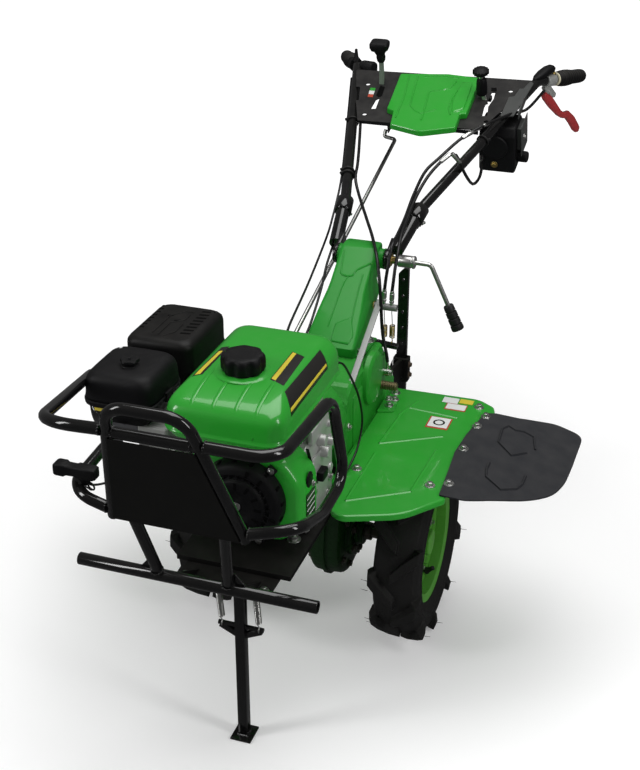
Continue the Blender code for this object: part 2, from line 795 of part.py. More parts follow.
def exhaust():
    box = softened(block(MUFFLER_X, MUFFLER_Y, MUFFLER_H), 0.010)
    elbow = block((-0.205, -0.165), (HEAD_Y[1] + GAP, -0.165), (0.150, MUFFLER_H[0] + 0.010))
    piece("muffler", machine, "bare_steel", [box, elbow])
    room = 0.0005
    inner_x = (MUFFLER_X[0] - room, MUFFLER_X[1] + room)
    inner_y = (MUFFLER_Y[0] - room, MUFFLER_Y[1] + room)
    outer_x = (inner_x[0] - GUARD_T, inner_x[1] + GUARD_T)
    outer_y = (inner_y[0] - GUARD_T, inner_y[1] + GUARD_T)
    inner_top = MUFFLER_H[1] + room
    shell = block(outer_x, outer_y, (GUARD_H, inner_top + GUARD_T))
    hollow = block(inner_x, inner_y, (GUARD_H - 0.01, inner_top))
    piece("muffler_guard", machine, "black_paint", [shell], [hollow])


# ---------------------------------------------------------------- fenders


def fenders():
    # across, back from the axle: the left fender's edge, the right one's is its mirror image
    out = WHEEL_OUT
    edge = [
        (0.095, 0.223),
        (out + 0.020, 0.228),
        (out + 0.060, 0.200),
        (out + 0.065, 0.175),
        (out + 0.043, 0.160),
        (out + 0.037, -0.172),
        (out + 0.053, -0.190),
        (out - 0.016, -0.273),
        (0.145, -0.316),
        (0.123, -0.309),
        (0.118, -0.215),
        (0.095, -0.190),
    ]
    # across, front end, rear end, height of the underside: the left flap's rows
    rows = [
        (out + 0.029, -0.180, 0.165, FENDER_H + GAP),
        (out + 0.051, -0.189, 0.165, FENDER_H + GAP),
        (out + 0.077, -0.187, 0.176, FENDER_H + GAP),
        (out + 0.137, -0.146, 0.192, FENDER_H - 0.015),
        (out + 0.196, -0.097, 0.217, FENDER_H - 0.032),
        (out + 0.232, -0.045, 0.214, FENDER_H - 0.042),
        (out + 0.248, 0.060, 0.195, FENDER_H - 0.045),
    ]
    bar_top = FENDER_H - FENDER_RIM - GAP
    bar_h = (bar_top - 0.010, bar_top)
    for side, sign, inner in (("left", 1, CASE_X[1] + GAP), ("right", -1, CASE_X[0] - GAP)):
        outline = [(sign * x, y) for x, y in edge]
        sheet = prism(outline, (FENDER_H - FENDER_RIM, FENDER_H))
        under = [face for face in sheet.faces if face.normal.z < -0.9]
        bmesh.ops.inset_region(sheet, faces=under, thickness=FENDER_T, use_even_offset=True)
        bmesh.ops.translate(sheet, vec=(0, 0, FENDER_RIM - FENDER_T), verts=under[0].verts)
        piece(f"fender_{side}", machine, "green_paint", sheet)
        reach = sign * (out + 0.020)
        piece(
            f"fender_bracket_{side}",
            machine,
            "black_paint",
            block(tuple(sorted((inner, reach))), (0.030, 0.060), bar_h),
        )
        rings = []
        for x, front, rear, h in rows:
            rings.append(
                [
                    (sign * x, front, h),
                    (sign * x, rear, h),
                    (sign * x, rear, h + FLAP_T),
                    (sign * x, front, h + FLAP_T),
                ]
            )
        piece(f"fender_flap_{side}", machine, "black_rubber", skinned(rings))


# ---------------------------------------------------------------- handlebar column


def column():
    foot_h = CASE_TOP_H + GAP
    # side outline: back from the axle, height
    outer = [
        (0.246, COLUMN_TOP_H),
        (0.291, COLUMN_TOP_H - 0.004),
        (0.295, 0.320),
        (0.282, 0.300),
        (0.252, 0.290),
        (0.251, 0.258),
        (0.202, 0.232),
        (0.135, foot_h),
        (0.060, foot_h),
        (0.067, 0.229),
    ]
    hollow = [
        (0.246 + SHEET * 1.3, COLUMN_TOP_H - 0.004 - SHEET),
        (0.310, COLUMN_TOP_H - 0.004 - SHEET),
        (0.310, foot_h - 0.02),
        (0.060 + SHEET * 1.3, foot_h - 0.02),
        (0.067 + SHEET * 1.3, 0.229),
    ]
    taper = (COLUMN_HALF, COLUMN_FOOT_HALF, 0.290, foot_h)
    shell = tapered(prism(outer, (-COLUMN_HALF, COLUMN_HALF), "X"), *taper)
    inside = COLUMN_HALF - SHEET
    room = tapered(prism(hollow, (-inside, inside), "X"), *taper)
    flange = block((-0.068, 0.072), (0.052, 0.150), (foot_h, foot_h + 0.005))
    axis = (0, PIVOT_Y, PIVOT_H)
    discs = [
        disc(HINGE_R, tuple(sorted((sign * (COLUMN_HALF - 0.001), sign * (COLUMN_HALF + HINGE_T)))), axis)
        for sign in (-1, 1)
    ]
    bore = disc(PIVOT_R + PIN_CLEARANCE, (-0.1, 0.1), axis, sides=16)
    piece("handlebar_column", machine, "green_paint", [shell, flange] + discs, [room, bore])

    plate_out = COLUMN_HALF + HINGE_T + GAP + HINGE_PLATE_T
    bolt = [
        (-plate_out - GAP - 0.010, 0),
        (-plate_out - GAP - 0.010, 0.011),
        (-plate_out - GAP, 0.011),
        (-plate_out - GAP, PIVOT_R),
        (plate_out + GAP, PIVOT_R),
        (plate_out + GAP, 0.010),
        (plate_out + GAP + 0.021, 0.010),
        (plate_out + GAP + 0.021, 0),
    ]
    piece("pivot_bolt", machine, "brass", turned(bolt, axis, sides=16))
    start = plate_out + 0.021 + 2 * GAP
    # across, height, radius: a long nut, a bent rod and its grip
    steps = [
        (start, PIVOT_H, 0.0075),
        (start + 0.036, PIVOT_H, 0.0075),
        (start + 0.037, PIVOT_H, 0.0045),
        (0.152, PIVOT_H - 0.004, 0.0045),
        (0.196, 0.233, 0.0045),
        (0.197, 0.230, 0.009),
        (0.212, 0.194, 0.009),
    ]
    route = [(x, PIVOT_Y, h) for x, h, _ in steps]
    piece(
        "clamp_lever",
        machine,
        "bare_steel",
        rod(route, [radius for _, _, radius in steps]),
    )


# ---------------------------------------------------------------- handlebars

CLAMP = Vector((0.088, 0.420, 0.393))
BEND = Vector((0.232, 0.955, 0.558))
GRIP_END = Vector((0.318, 1.124, 0.540))
SLOPE = Vector((0, BEND.y - CLAMP.y, BEND.z - CLAMP.z)).normalized()
RISE = Vector((0, -SLOPE.z, SLOPE.y))


def panel_point(x, s, up=0.0):
    """A point s up the handlebars' slope from the clamps, up above the panel's underside."""
    return Vector((x, CLAMP.y, CLAMP.z)) + SLOPE * s + RISE * (TUBE_R + GAP + up)


def panel_prism(outline, span):
    return skinned([[panel_point(x, s, up) for x, s in outline] for up in span])


def panel_block(x, s, up):
    return panel_prism([(x[0], s[0]), (x[1], s[0]), (x[1], s[1]), (x[0], s[1])], up)


def mirrored(point, sign):
    return Vector((sign * point.x, point.y, point.z))


def handlebars():
    axis = Vector((0, PIVOT_Y, PIVOT_H))
    inner = COLUMN_HALF + HINGE_T + GAP
    root = Vector((inner + 0.013, PIVOT_Y, PIVOT_H))
    grip_way = (GRIP_END - BEND).normalized()
    grip_start = GRIP_END - grip_way * GRIP_LENGTH
    for side, sign, _ in sides_of(0):
        ahead = (CLAMP - root).normalized()
        start = root + ahead * (HINGE_R + 0.010)
        arm = rod(
            [mirrored(p, sign) for p in (start, CLAMP - ahead * 0.040, CLAMP - ahead * 0.039, CLAMP)],
            [ARM_R, ARM_R, ARM_R + 0.004, ARM_R + 0.004],
            12,
        )
        span = tuple(sorted((sign * inner, sign * (inner + HINGE_PLATE_T))))
        hub = disc(HINGE_R + 0.001, span, axis)
        slope = Vector((0, ahead.y, ahead.z)).normalized()
        across = Vector((0, -slope.z, slope.y)) * 0.015
        corners = [axis - across, axis + across, axis + across + slope * 0.050]
        corners.append(axis - across + slope * 0.050)
        tongue = skinned([[(x, c.y, c.z) for c in corners] for x in span])
        bore = disc(PIVOT_R + PIN_CLEARANCE, (-0.1, 0.1), axis, sides=16)
        piece(f"handle_arm_{side}", handlebar, "black_paint", [arm, hub, tongue], [bore])

        tube_way = (BEND - CLAMP).normalized()
        tube_start = TUBE_R * tan(ahead.angle(tube_way)) + GAP
        corners = [
            (*(CLAMP + tube_way * tube_start), 0),
            (*BEND, 0.070),
            (*(grip_start - grip_way * GAP), 0),
        ]
        route = [mirrored(p, sign) for p in rounded_route(corners)]
        piece(f"handle_tube_{side}", handlebar, "black_paint", rod(route, TUBE_R, 12))
        steps = [(0, 0.012), (0.001, 0.0195), (0.004, 0.0195), (0.005, GRIP_R), (0.095, GRIP_R)]
        steps += [(0.110, GRIP_R - 0.001), (GRIP_LENGTH, GRIP_R - 0.006)]
        route = [mirrored(grip_start + grip_way * along, sign) for along, _ in steps]
        grip = rod(route, [radius for _, radius in steps], 12)
        piece(f"handle_grip_{side}", handlebar, "black_rubber", grip)


# lever: across, up the slope, top of its rod, knob's radius and height
LEVERS = {
    "gear_lever": (-0.139, 0.475, 0.088, 0.022, 0.030),
    "side_lever": (0.120, 0.440, 0.062, 0.016, 0.026),
}


BOX_HALF = 0.045
BOX_S = (0.352, 0.437)  # up the slope
BOX_DEPTH = 0.105


def controls():
    outline = [
        (-0.150, 0.305),
        (0.150, 0.305),
        (0.226, 0.515),
        (0.228, 0.540),
        (-0.228, 0.540),
        (-0.226, 0.515),
    ]
    plate = panel_prism(outline, (0, PANEL_T))
    straps = []
    slots = []
    for x, s, *_ in LEVERS.values():
        straps.append(panel_block((x - 0.022, x + 0.022), (s - 0.007, s + 0.007), (-0.012, 0)))
        slots.append(panel_block((x - 0.008, x + 0.008), (s - 0.030, s + 0.030), (0, 0.02)))
    shift_bracket = panel_block((-0.113, -0.097), (0.385, 0.411), (-0.088, 0.0))
    piece(
        "control_panel", handlebar, "black_paint", [plate, shift_bracket] + straps, slots
    )
    # the pressed cover's outline: across, up the slope
    outline = [(-0.030, 0.268), (0.030, 0.268), (0.082, 0.305), (0.098, 0.372), (0.103, 0.546)]
    outline += [(-x, s) for x, s in reversed(outline[2:])]
    cover = softened(panel_prism(outline, (PANEL_T + GAP, PANEL_T + GAP + 0.014)), 0.005)
    piece("panel_cover", handlebar, "green_paint", cover)
    for name, (x, s, rod_top, knob_r, knob_t) in LEVERS.items():
        steps = [
            (GAP, 0.004),
            (rod_top, 0.004),
            (rod_top + 0.001, knob_r * 0.45),
            (rod_top + knob_t * 0.35, knob_r * 0.95),
            (rod_top + knob_t * 0.65, knob_r),
            (rod_top + knob_t * 0.9, knob_r * 0.75),
            (rod_top + knob_t, knob_r * 0.3),
        ]
        lever = rod([panel_point(x, s, up) for up, _ in steps], [r for _, r in steps], 12)
        piece(name, handlebar, "black_plastic", lever)

    box_top = -2 * TUBE_R - 2 * GAP
    tube_x = CLAMP.x + (BEND.x - CLAMP.x) * 0.395 * SLOPE.y / (BEND.y - CLAMP.y)
    box = softened(
        panel_block((tube_x - BOX_HALF, tube_x + BOX_HALF), BOX_S, (box_top - BOX_DEPTH, box_top)),
        0.005,
    )
    piece("control_box", handlebar, "black_plastic", box)

    grip_way = (GRIP_END - BEND).normalized()
    over = (Vector((0, 0, 1)) - grip_way * grip_way.z).normalized()
    mount = BEND + grip_way * 0.040
    start = mount - over * (TUBE_R + GAP)
    tip = Vector((0.319, 1.100, 0.403))
    route = [start, start - over * 0.018, start.lerp(tip, 0.5) - over * 0.012, tip]
    lever = rod(route, (0.008, 0.007, 0.006, 0.0065), 8)
    piece("clutch_lever", handlebar, "red_lever", lever)

    start = BEND + grip_way * 0.024 + over * (TUBE_R + GAP)
    steps = [(0, 0.007), (0.012, 0.007), (0.013, 0.017), (0.028, 0.015)]
    route = [start + over * along for along, _ in steps]
    knob = rod(route, [radius for _, radius in steps], 12)
    piece("throttle_lever", handlebar, "black_plastic", knob)


# ---------------------------------------------------------------- shift rod and drag bar


def shift_rod():
    x, y, h = SHIFT_EYE
    ring = turned(
        [(-0.0095, 0), (-0.0095, 0.010), (0.0095, 0.010), (0.0095, 0)], (x, y, h), sides=14
    )
    top = panel_point(-0.097 + 0.007 + GAP, 0.398, -0.078)
    corners = [
        (x, y, h, 0),
        (x, y + 0.020, h + 0.008, 0.010),
        (top.x + 0.010, top.y - 0.010, top.z - 0.006, 0.010),
        (top.x, top.y, top.z, 0),
    ]
    bar = rod(rounded_route(corners, 3), 0.005, 8)
    piece("shift_rod", shifter, "bare_steel", [ring, bar])


def drag_bar():
    half_w, half_t = BAR_W / 2, BAR_T / 2
    low, high = BAR_H
    outline = [
        (BAR_X - half_w, low + 0.030),
        (BAR_X, low),
        (BAR_X + half_w, low + 0.030),
        (BAR_X + half_w, high),
        (BAR_X - half_w + 0.012, high),
        (BAR_X - half_w, high - 0.014),
    ]
    count = int((high - low - 0.060) / BAR_HOLE_PITCH)
    holes = [
        disc(BAR_HOLE_R, (-0.05, 0.05), (BAR_X, BAR_Y, high - 0.028 - i * BAR_HOLE_PITCH), "Y", 8)
        for i in range(count)
    ]
    bar = prism(outline, (BAR_Y - half_t, BAR_Y + half_t), "Y")
    piece("drag_bar", drag, "black_paint", bar, holes)

    room = PIN_CLEARANCE
    inner_x = (BAR_X - half_w - room, BAR_X + half_w + room)
    inner_y = (BAR_Y - half_t - room, BAR_Y + half_t + room)
    outer_x = (inner_x[0] - HOLDER_WALL, inner_x[1] + HOLDER_WALL)
    outer_y = (inner_y[0] - HOLDER_WALL, inner_y[1] + HOLDER_WALL)
    sleeve = block(outer_x, outer_y, HOLDER_H, 0.003)
    case_y = CASE_REAR_Y + GAP
    gusset = prism(
        [
            (case_y, -0.015),
            (case_y, 0.045),
            (outer_y[0] + 0.002, HOLDER_H[1] - 0.002),
            (outer_y[0] + 0.002, -0.030),
        ],
        (BAR_X - 0.004, BAR_X + 0.004),
        "X",
    )
    hole = block(inner_x, inner_y, (HOLDER_H[0] - 0.01, HOLDER_H[1] + 0.01))
    piece("drag_bar_holder", machine, "black_paint", [sleeve, gusset], [hole])


# ---------------------------------------------------------------- cables and their bracket

BRACKET_Y = 0.200
BRACKET_H = 0.245
BRACKET_R = 0.006
CABLE_R = 0.003

# across, back from the axle, height
CLUTCH_ROUTE = [
    tuple(BEND + Vector((0.0153, 0.0255, -0.0270))),
    (0.2252, 0.8850, 0.5076),
    (0.2092, 0.7950, 0.5192),
    (0.1990, 0.7600, 0.5214),
    (0.1602, 0.6860, 0.5136),
    (0.1222, 0.6400, 0.4940),
    (0.0839, 0.5850, 0.4589),
    (0.0629, 0.5400, 0.4369),
    (0.0619, 0.4500, 0.4113),
    (0.0682, 0.3600, 0.3889),
    (0.0728, 0.2900, 0.3783),
    (0.0758, 0.2350, 0.3705),
    (0.0747, 0.2120, 0.3338),
    (0.0729, 0.2020, 0.3010),
    (0.0715, BRACKET_Y, 0.2800),
]
SIDE_ROUTE = [
    (0.1440, 0.7720, 0.4050),
    (0.1499, 0.7400, 0.3843),
    (0.1501, 0.7100, 0.3737),
    (0.1494, 0.6600, 0.3796),
    (0.1502, 0.6000, 0.4109),
    (0.1439, 0.5600, 0.4489),
    (0.1309, 0.5500, 0.4810),
    (0.1171, 0.5400, 0.4826),
    (0.1023, 0.5250, 0.4692),
    (0.0831, 0.4900, 0.4443),
    (0.0737, 0.4300, 0.4160),
    (0.0770, 0.3400, 0.3906),
    (0.0818, 0.2850, 0.3780),
    (0.0879, 0.2400, 0.3567),
    (0.0893, 0.2150, 0.3278),
    (0.0895, 0.2040, 0.3025),
    (0.0882, BRACKET_Y, 0.2800),
]
GEAR_ROUTE = [
    (-0.2080, 0.9250, 0.5460),
    (-0.1990, 0.9000, 0.5420),
    (-0.1700, 0.7900, 0.5120),
    (-0.1430, 0.7000, 0.4830),
    (-0.1145, 0.6000, 0.4530),
    (-0.1002, 0.5450, 0.4348),
    (-0.0905, 0.5000, 0.4186),
    (-0.0700, 0.4600, 0.3964),
    (-0.0230, 0.3700, 0.3745),
    (0.0149, 0.2900, 0.3665),
    (0.0463, 0.2200, 0.3520),
    (0.0641, 0.1850, 0.3134),
    (0.0712, 0.1750, 0.2682),
    (0.0796, 0.1650, 0.2007),
    (0.0930, 0.1530, 0.1580),
]
THROTTLE_ROUTE = [
    (-0.2330, 0.9000, 0.5410),
    (-0.1790, 0.7000, 0.4780),
    (-0.1385, 0.5500, 0.4330),
    (-0.1200, 0.4800, 0.4090),
    (-0.1140, 0.4400, 0.3880),
    (-0.1075, 0.3900, 0.3640),
    (-0.0990, 0.3200, 0.3380),
    (-0.0696, 0.1200, 0.3150),
    (-0.0430, -0.0600, 0.3060),
    (-0.0380, -0.1150, 0.2900),
    (-0.0600, -0.1350, 0.2350),
    (-0.0780, -0.1750, 0.1880),
]


def smooth_route(points, step):
    """A smooth curve through the points, with a point at about every step."""
    points = [Vector(point) for point in points]
    padded = [2 * points[0] - points[1]] + points + [2 * points[-1] - points[-2]]
    route = [points[0]]
    for a, b, c, d in zip(padded, padded[1:], padded[2:], padded[3:]):
        count = max(1, round((c - b).length / step))
        for i in range(1, count + 1):
            t = i / count
            bent = (2 * a - 5 * b + 4 * c - d) * t**2 + (3 * b - a - 3 * c + d) * t**3
            route.append(b + ((c - a) * t + bent) / 2)
    return route


def cable_bracket():
    """A tube across the column's side that holds the cables' ends, and the strap that stays it."""
    wall = COLUMN_HALF + (0.290 - BRACKET_H) / (0.290 - CASE_TOP_H) * (COLUMN_FOOT_HALF - COLUMN_HALF)
    tube = disc(BRACKET_R, (wall + 0.0024, 0.100), (0, BRACKET_Y, BRACKET_H), sides=14)
    foot_h = CASE_TOP_H + GAP
    low = [(-0.058, foot_h), (-0.044, foot_h), (-0.042, foot_h + 0.006), (-0.058, foot_h + 0.014)]
    high = [
        (BRACKET_Y + 0.001, BRACKET_H - 0.001),
        (BRACKET_Y + 0.003, BRACKET_H + 0.004),
        (BRACKET_Y + 0.001, BRACKET_H + 0.011),
        (BRACKET_Y - 0.005, BRACKET_H + 0.008),
    ]
    low_x, high_x = (0.0755, 0.0785), (0.060, 0.063)
    strap = skinned(
        [
            [(low_x[0], *low[0]), (low_x[0], *low[1]), (high_x[0], *high[0]), (high_x[0], *high[3])],
            [(low_x[1], *low[0]), (low_x[1], *low[1]), (high_x[1], *high[0]), (high_x[1], *high[3])],
        ]
    )
    piece("cable_bracket", machine, "bare_steel", [tube, strap])


def cables():
    seat_h = BRACKET_H + BRACKET_R + GAP
    box_face = panel_point(0.140, BOX_S[0], -0.100) - SLOPE * GAP
    shaft_x = CASE_X[1] + 0.012
    shaft_top = SHIFT_SHAFT[2] + SHIFT_SHAFT_R + GAP
    # name: radius, route from its lever or housing down to its seat
    routes = {
        "clutch_cable": (CABLE_R, CLUTCH_ROUTE + [(0.0710, BRACKET_Y, seat_h)]),
        "side_cable": (CABLE_R, [box_face] + SIDE_ROUTE + [(0.088, BRACKET_Y, seat_h)]),
        "gear_cable": (0.0025, GEAR_ROUTE + [(shaft_x, SHIFT_SHAFT[1], shaft_top)]),
        "throttle_cable": (0.0016, THROTTLE_ROUTE + [(-0.0800, ENGINE_REAR_Y + GAP, 0.178)]),
    }
    for name, (radius, route) in routes.items():
        step = 5 * max(radius, 0.0025)
        shape = rod(smooth_route(route, step), radius, 8 if radius >= 0.002 else 6)
        piece(name, machine, "black_rubber", shape)


# ---------------------------------------------------------------- build

wheel_pieces()
gear_train()
skid_bottom = chassis()
bumper()
parking_stand(skid_bottom)
engine()
fenders()
column()
handlebars()
controls()
shift_rod()
drag_bar()
cable_bracket()
cables()


def centre_lengthwise():
    """Moves the machine so that the middle of its length is over the origin."""
    bpy.context.view_layer.update()
    ends = [
        (obj.matrix_world @ vert.co).y
        for obj in bpy.context.scene.objects
        if obj.type == "MESH"
        for vert in obj.data.vertices
    ]
    machine.location.y = -(min(ends) + max(ends)) / 2


centre_lengthwise()
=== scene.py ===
from math import copysign, cos, pi, radians, sin, tan

import bmesh
import bpy
from mathutils import Matrix, Vector
from mathutils.bvhtree import BVHTree


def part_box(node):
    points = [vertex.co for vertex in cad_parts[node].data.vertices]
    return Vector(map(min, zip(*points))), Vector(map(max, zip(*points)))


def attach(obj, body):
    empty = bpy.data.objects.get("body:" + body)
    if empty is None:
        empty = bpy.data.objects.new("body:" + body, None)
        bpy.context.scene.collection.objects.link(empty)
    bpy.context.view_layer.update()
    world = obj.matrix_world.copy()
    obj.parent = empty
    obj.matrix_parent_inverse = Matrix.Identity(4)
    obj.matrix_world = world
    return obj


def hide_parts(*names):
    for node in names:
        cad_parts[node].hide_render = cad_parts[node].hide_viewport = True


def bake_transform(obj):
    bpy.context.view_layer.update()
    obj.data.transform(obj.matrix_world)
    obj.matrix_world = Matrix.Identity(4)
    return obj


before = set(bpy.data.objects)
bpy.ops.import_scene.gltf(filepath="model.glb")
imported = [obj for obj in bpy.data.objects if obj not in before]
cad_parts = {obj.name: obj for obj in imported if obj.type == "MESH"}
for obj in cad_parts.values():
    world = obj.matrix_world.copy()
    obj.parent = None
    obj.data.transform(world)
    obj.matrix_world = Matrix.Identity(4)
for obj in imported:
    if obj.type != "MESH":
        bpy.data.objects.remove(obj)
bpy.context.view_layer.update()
scene = bpy.context.scene
axle_y = sum(corner.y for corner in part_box("axle_shaft")) / 2


def at(x, y, z):
    """A point with its distance back measured from the wheels' axle."""
    return Vector((x, axle_y + y, z))


# ---------------------------------------------------------------- camera, floor and light
# A pale studio floor that runs out to a white surround, lit by one soft overhead panel and two
# smaller side panels, which leave long highlights on the tubes.

camera = bpy.data.objects.new("camera", bpy.data.cameras.new("camera"))
scene.collection.objects.link(camera)
camera.data.lens = 63.2
camera.data.sensor_width = 36
camera.location = at(0.806, -2.341, 1.81)
camera.rotation_euler = (radians(62.88), 0, radians(19.08))
scene.camera = camera
scene.view_settings.view_transform = "Standard"

OVERCAST = 0.32  # the surround's light on the object
MIRRORED = 0.09  # what the gloss shows of the surround
FLOOR_HALF = 14
FLOOR_Z = -0.0006


def feed(links, socket, value):
    """Sets a socket to a number, or links it to what makes its value."""
    if isinstance(value, (int, float)):
        socket.default_value = value
    else:
        links.new(value, socket)


def preset(node, values):
    """Sets a node's sockets to plain values."""
    for label, value in values.items():
        node.inputs[label].default_value = value


def studio_strength(nodes, links, plain, mirrored, white):
    """A strength that is plain for light on the object, and another where it is mirrored or seen."""
    path = nodes.new("ShaderNodeLightPath")
    strength = plain
    for ray, level in (("Is Glossy Ray", mirrored), ("Is Transmission Ray", white), ("Is Camera Ray", white)):
        choice = nodes.new("ShaderNodeMix")
        links.new(path.outputs[ray], choice.inputs["Factor"])
        feed(links, choice.inputs["A"], strength)
        feed(links, choice.inputs["B"], level)
        strength = choice.outputs["Result"]
    return strength


world = bpy.data.worlds.new("studio")
scene.world = world
world.use_nodes = True
nodes, links = world.node_tree.nodes, world.node_tree.links
background = nodes["Background"]
preset(background, {"Color": (1, 1, 1, 1)})
links.new(studio_strength(nodes, links, OVERCAST, MIRRORED, 1.0), background.inputs["Strength"])

bm = bmesh.new()
bmesh.ops.create_grid(bm, x_segments=1, y_segments=1, size=FLOOR_HALF,
                      matrix=Matrix.Translation((0, 0, FLOOR_Z)))
floor_mesh = bpy.data.meshes.new("floor")
bm.to_mesh(floor_mesh)
bm.free()
floor = bpy.data.objects.new("floor", floor_mesh)
scene.collection.objects.link(floor)
floor.visible_glossy = False
floor_paper = bpy.data.materials.new("floor_paper")
floor_paper.use_nodes = True
nodes, links = floor_paper.node_tree.nodes, floor_paper.node_tree.links
paper = nodes["Principled BSDF"]
preset(paper, {"Base Color": (0.84, 0.84, 0.84, 1), "Roughness": 0.9, "Specular IOR Level": 0.1,
               "Emission Color": (1, 1, 1, 1)})
# the floor brightens away from the object, where the lamps no longer reach it
spot = nodes.new("ShaderNodeTexCoord")
away = nodes.new("ShaderNodeVectorMath")
away.operation = "LENGTH"
links.new(spot.outputs["Object"], away.inputs[0])
fade = nodes.new("ShaderNodeMapRange")
preset(fade, {"From Min": 0.7, "From Max": 4.0, "To Min": 0.22, "To Max": 0.8})
links.new(away.outputs["Value"], fade.inputs["Value"])
links.new(studio_strength(nodes, links, 0.0, 0.1, fade.outputs["Result"]), paper.inputs["Emission Strength"])
floor_mesh.materials.append(floor_paper)

# name: place, what it faces, width, height, power
panels = {
    "overhead": ((0.2, 0.3, 3.6), (0, 0, 0.4), 2.6, 2.6, 72),
    "left_panel": ((-2.6, -2.4, 2.3), (0, -0.2, 0.6), 0.7, 2.2, 46),
    "right_panel": ((2.9, -1.2, 2.4), (0, 0, 0.6), 0.6, 2.2, 34),
}
for name, (place, target, width, height, power) in panels.items():
    lamp = bpy.data.lights.new(name, "AREA")
    lamp.shape = "RECTANGLE"
    lamp.size = width
    lamp.size_y = height
    lamp.energy = power
    panel = bpy.data.objects.new(name, lamp)
    panel.location = place
    panel.rotation_euler = (Vector(target) - Vector(place)).to_track_quat("-Z", "Y").to_euler()
    scene.collection.objects.link(panel)

# ---------------------------------------------------------------- tyres
# Cross-ply farm tyres, moulded in black rubber with tall chevron lugs. The moulding vents leave
# short rubber whiskers on the shoulders.


def effect(name, output, **inputs):
    """An empty shader group: its inputs with their usual values, and its one output."""
    group = bpy.data.node_groups.new(name, "ShaderNodeTree")
    for label, value in inputs.items():
        kind = "NodeSocketColor" if label == "Colour" else "NodeSocketFloat"
        group.interface.new_socket(label, in_out="INPUT", socket_type=kind).default_value = value
    kind = "NodeSocketColor" if output == "Colour" else "NodeSocketFloat"
    group.interface.new_socket(output, in_out="OUTPUT", socket_type=kind)
    given = group.nodes.new("NodeGroupInput").outputs
    return group, given, group.nodes.new("NodeGroupOutput").inputs[output]


def object_noise(group, scale, detail=4.0):
    """A noise that keeps to the object, at a scale that is a number or a socket."""
    place = group.nodes.new("ShaderNodeTexCoord")
    noise = group.nodes.new("ShaderNodeTexNoise")
    noise.inputs["Detail"].default_value = detail
    group.links.new(place.outputs["Object"], noise.inputs["Vector"])
    feed(group.links, noise.inputs["Scale"], scale)
    return noise.outputs["Fac"]


def sum_up(group, operation, *values):
    """One Math node fed by numbers and sockets."""
    node = group.nodes.new("ShaderNodeMath")
    node.operation = operation
    for socket, value in zip(node.inputs, values):
        feed(group.links, socket, value)
    return node.outputs[0]


def swung(group, middle, noise, amount):
    """A value that swings about its middle with a noise."""
    swing = sum_up(group, "MULTIPLY", sum_up(group, "SUBTRACT", noise, 0.5), amount)
    return sum_up(group, "ADD", middle, swing)


uneven_colour, given, result = effect("uneven colour", "Colour", Colour=(0.5, 0.5, 0.5, 1), Amount=0.1,
                                      Scale=8.0)
shade = uneven_colour.nodes.new("ShaderNodeHueSaturation")
cloudy = object_noise(uneven_colour, given["Scale"])
uneven_colour.links.new(swung(uneven_colour, 1.0, cloudy, given["Amount"]), shade.inputs["Value"])
uneven_colour.links.new(given["Colour"], shade.inputs["Color"])
uneven_colour.links.new(shade.outputs["Color"], result)

smudges, given, result = effect("smudges", "Roughness", Roughness=0.5, Spread=0.1, Scale=14.0)
wiped = object_noise(smudges, given["Scale"], 6.0)
smudges.links.new(swung(smudges, given["Roughness"], wiped, given["Spread"]), result)

worn_edges, given, result = effect("worn edges", "Mask", Width=0.001, Amount=0.3)
rounded = worn_edges.nodes.new("ShaderNodeBevel")
rounded.samples = 4
worn_edges.links.new(given["Width"], rounded.inputs["Radius"])
facing = worn_edges.nodes.new("ShaderNodeNewGeometry")
turned_away = worn_edges.nodes.new("ShaderNodeVectorMath")
turned_away.operation = "DOT_PRODUCT"
worn_edges.links.new(rounded.outputs["Normal"], turned_away.inputs[0])
worn_edges.links.new(facing.outputs["Normal"], turned_away.inputs[1])
corner = sum_up(worn_edges, "SUBTRACT", 1.0, turned_away.outputs["Value"])
patchy = sum_up(worn_edges, "MULTIPLY", object_noise(worn_edges, 60.0), 9.0)
limited = sum_up(worn_edges, "MINIMUM", sum_up(worn_edges, "MULTIPLY", corner, patchy), 1.0)
worn_edges.links.new(sum_up(worn_edges, "MULTIPLY", limited, given["Amount"]), result)

settled_dust, given, result = effect("settled dust", "Mask", Amount=0.1)
facing = settled_dust.nodes.new("ShaderNodeNewGeometry")
height = settled_dust.nodes.new("ShaderNodeSeparateXYZ")
settled_dust.links.new(facing.outputs["Normal"], height.inputs["Vector"])
level = sum_up(settled_dust, "MAXIMUM", height.outputs["Z"], 0.15)
drifted = sum_up(settled_dust, "MULTIPLY", level, object_noise(settled_dust, 35.0, 8.0))
settled_dust.links.new(sum_up(settled_dust, "MULTIPLY", drifted, given["Amount"]), result)


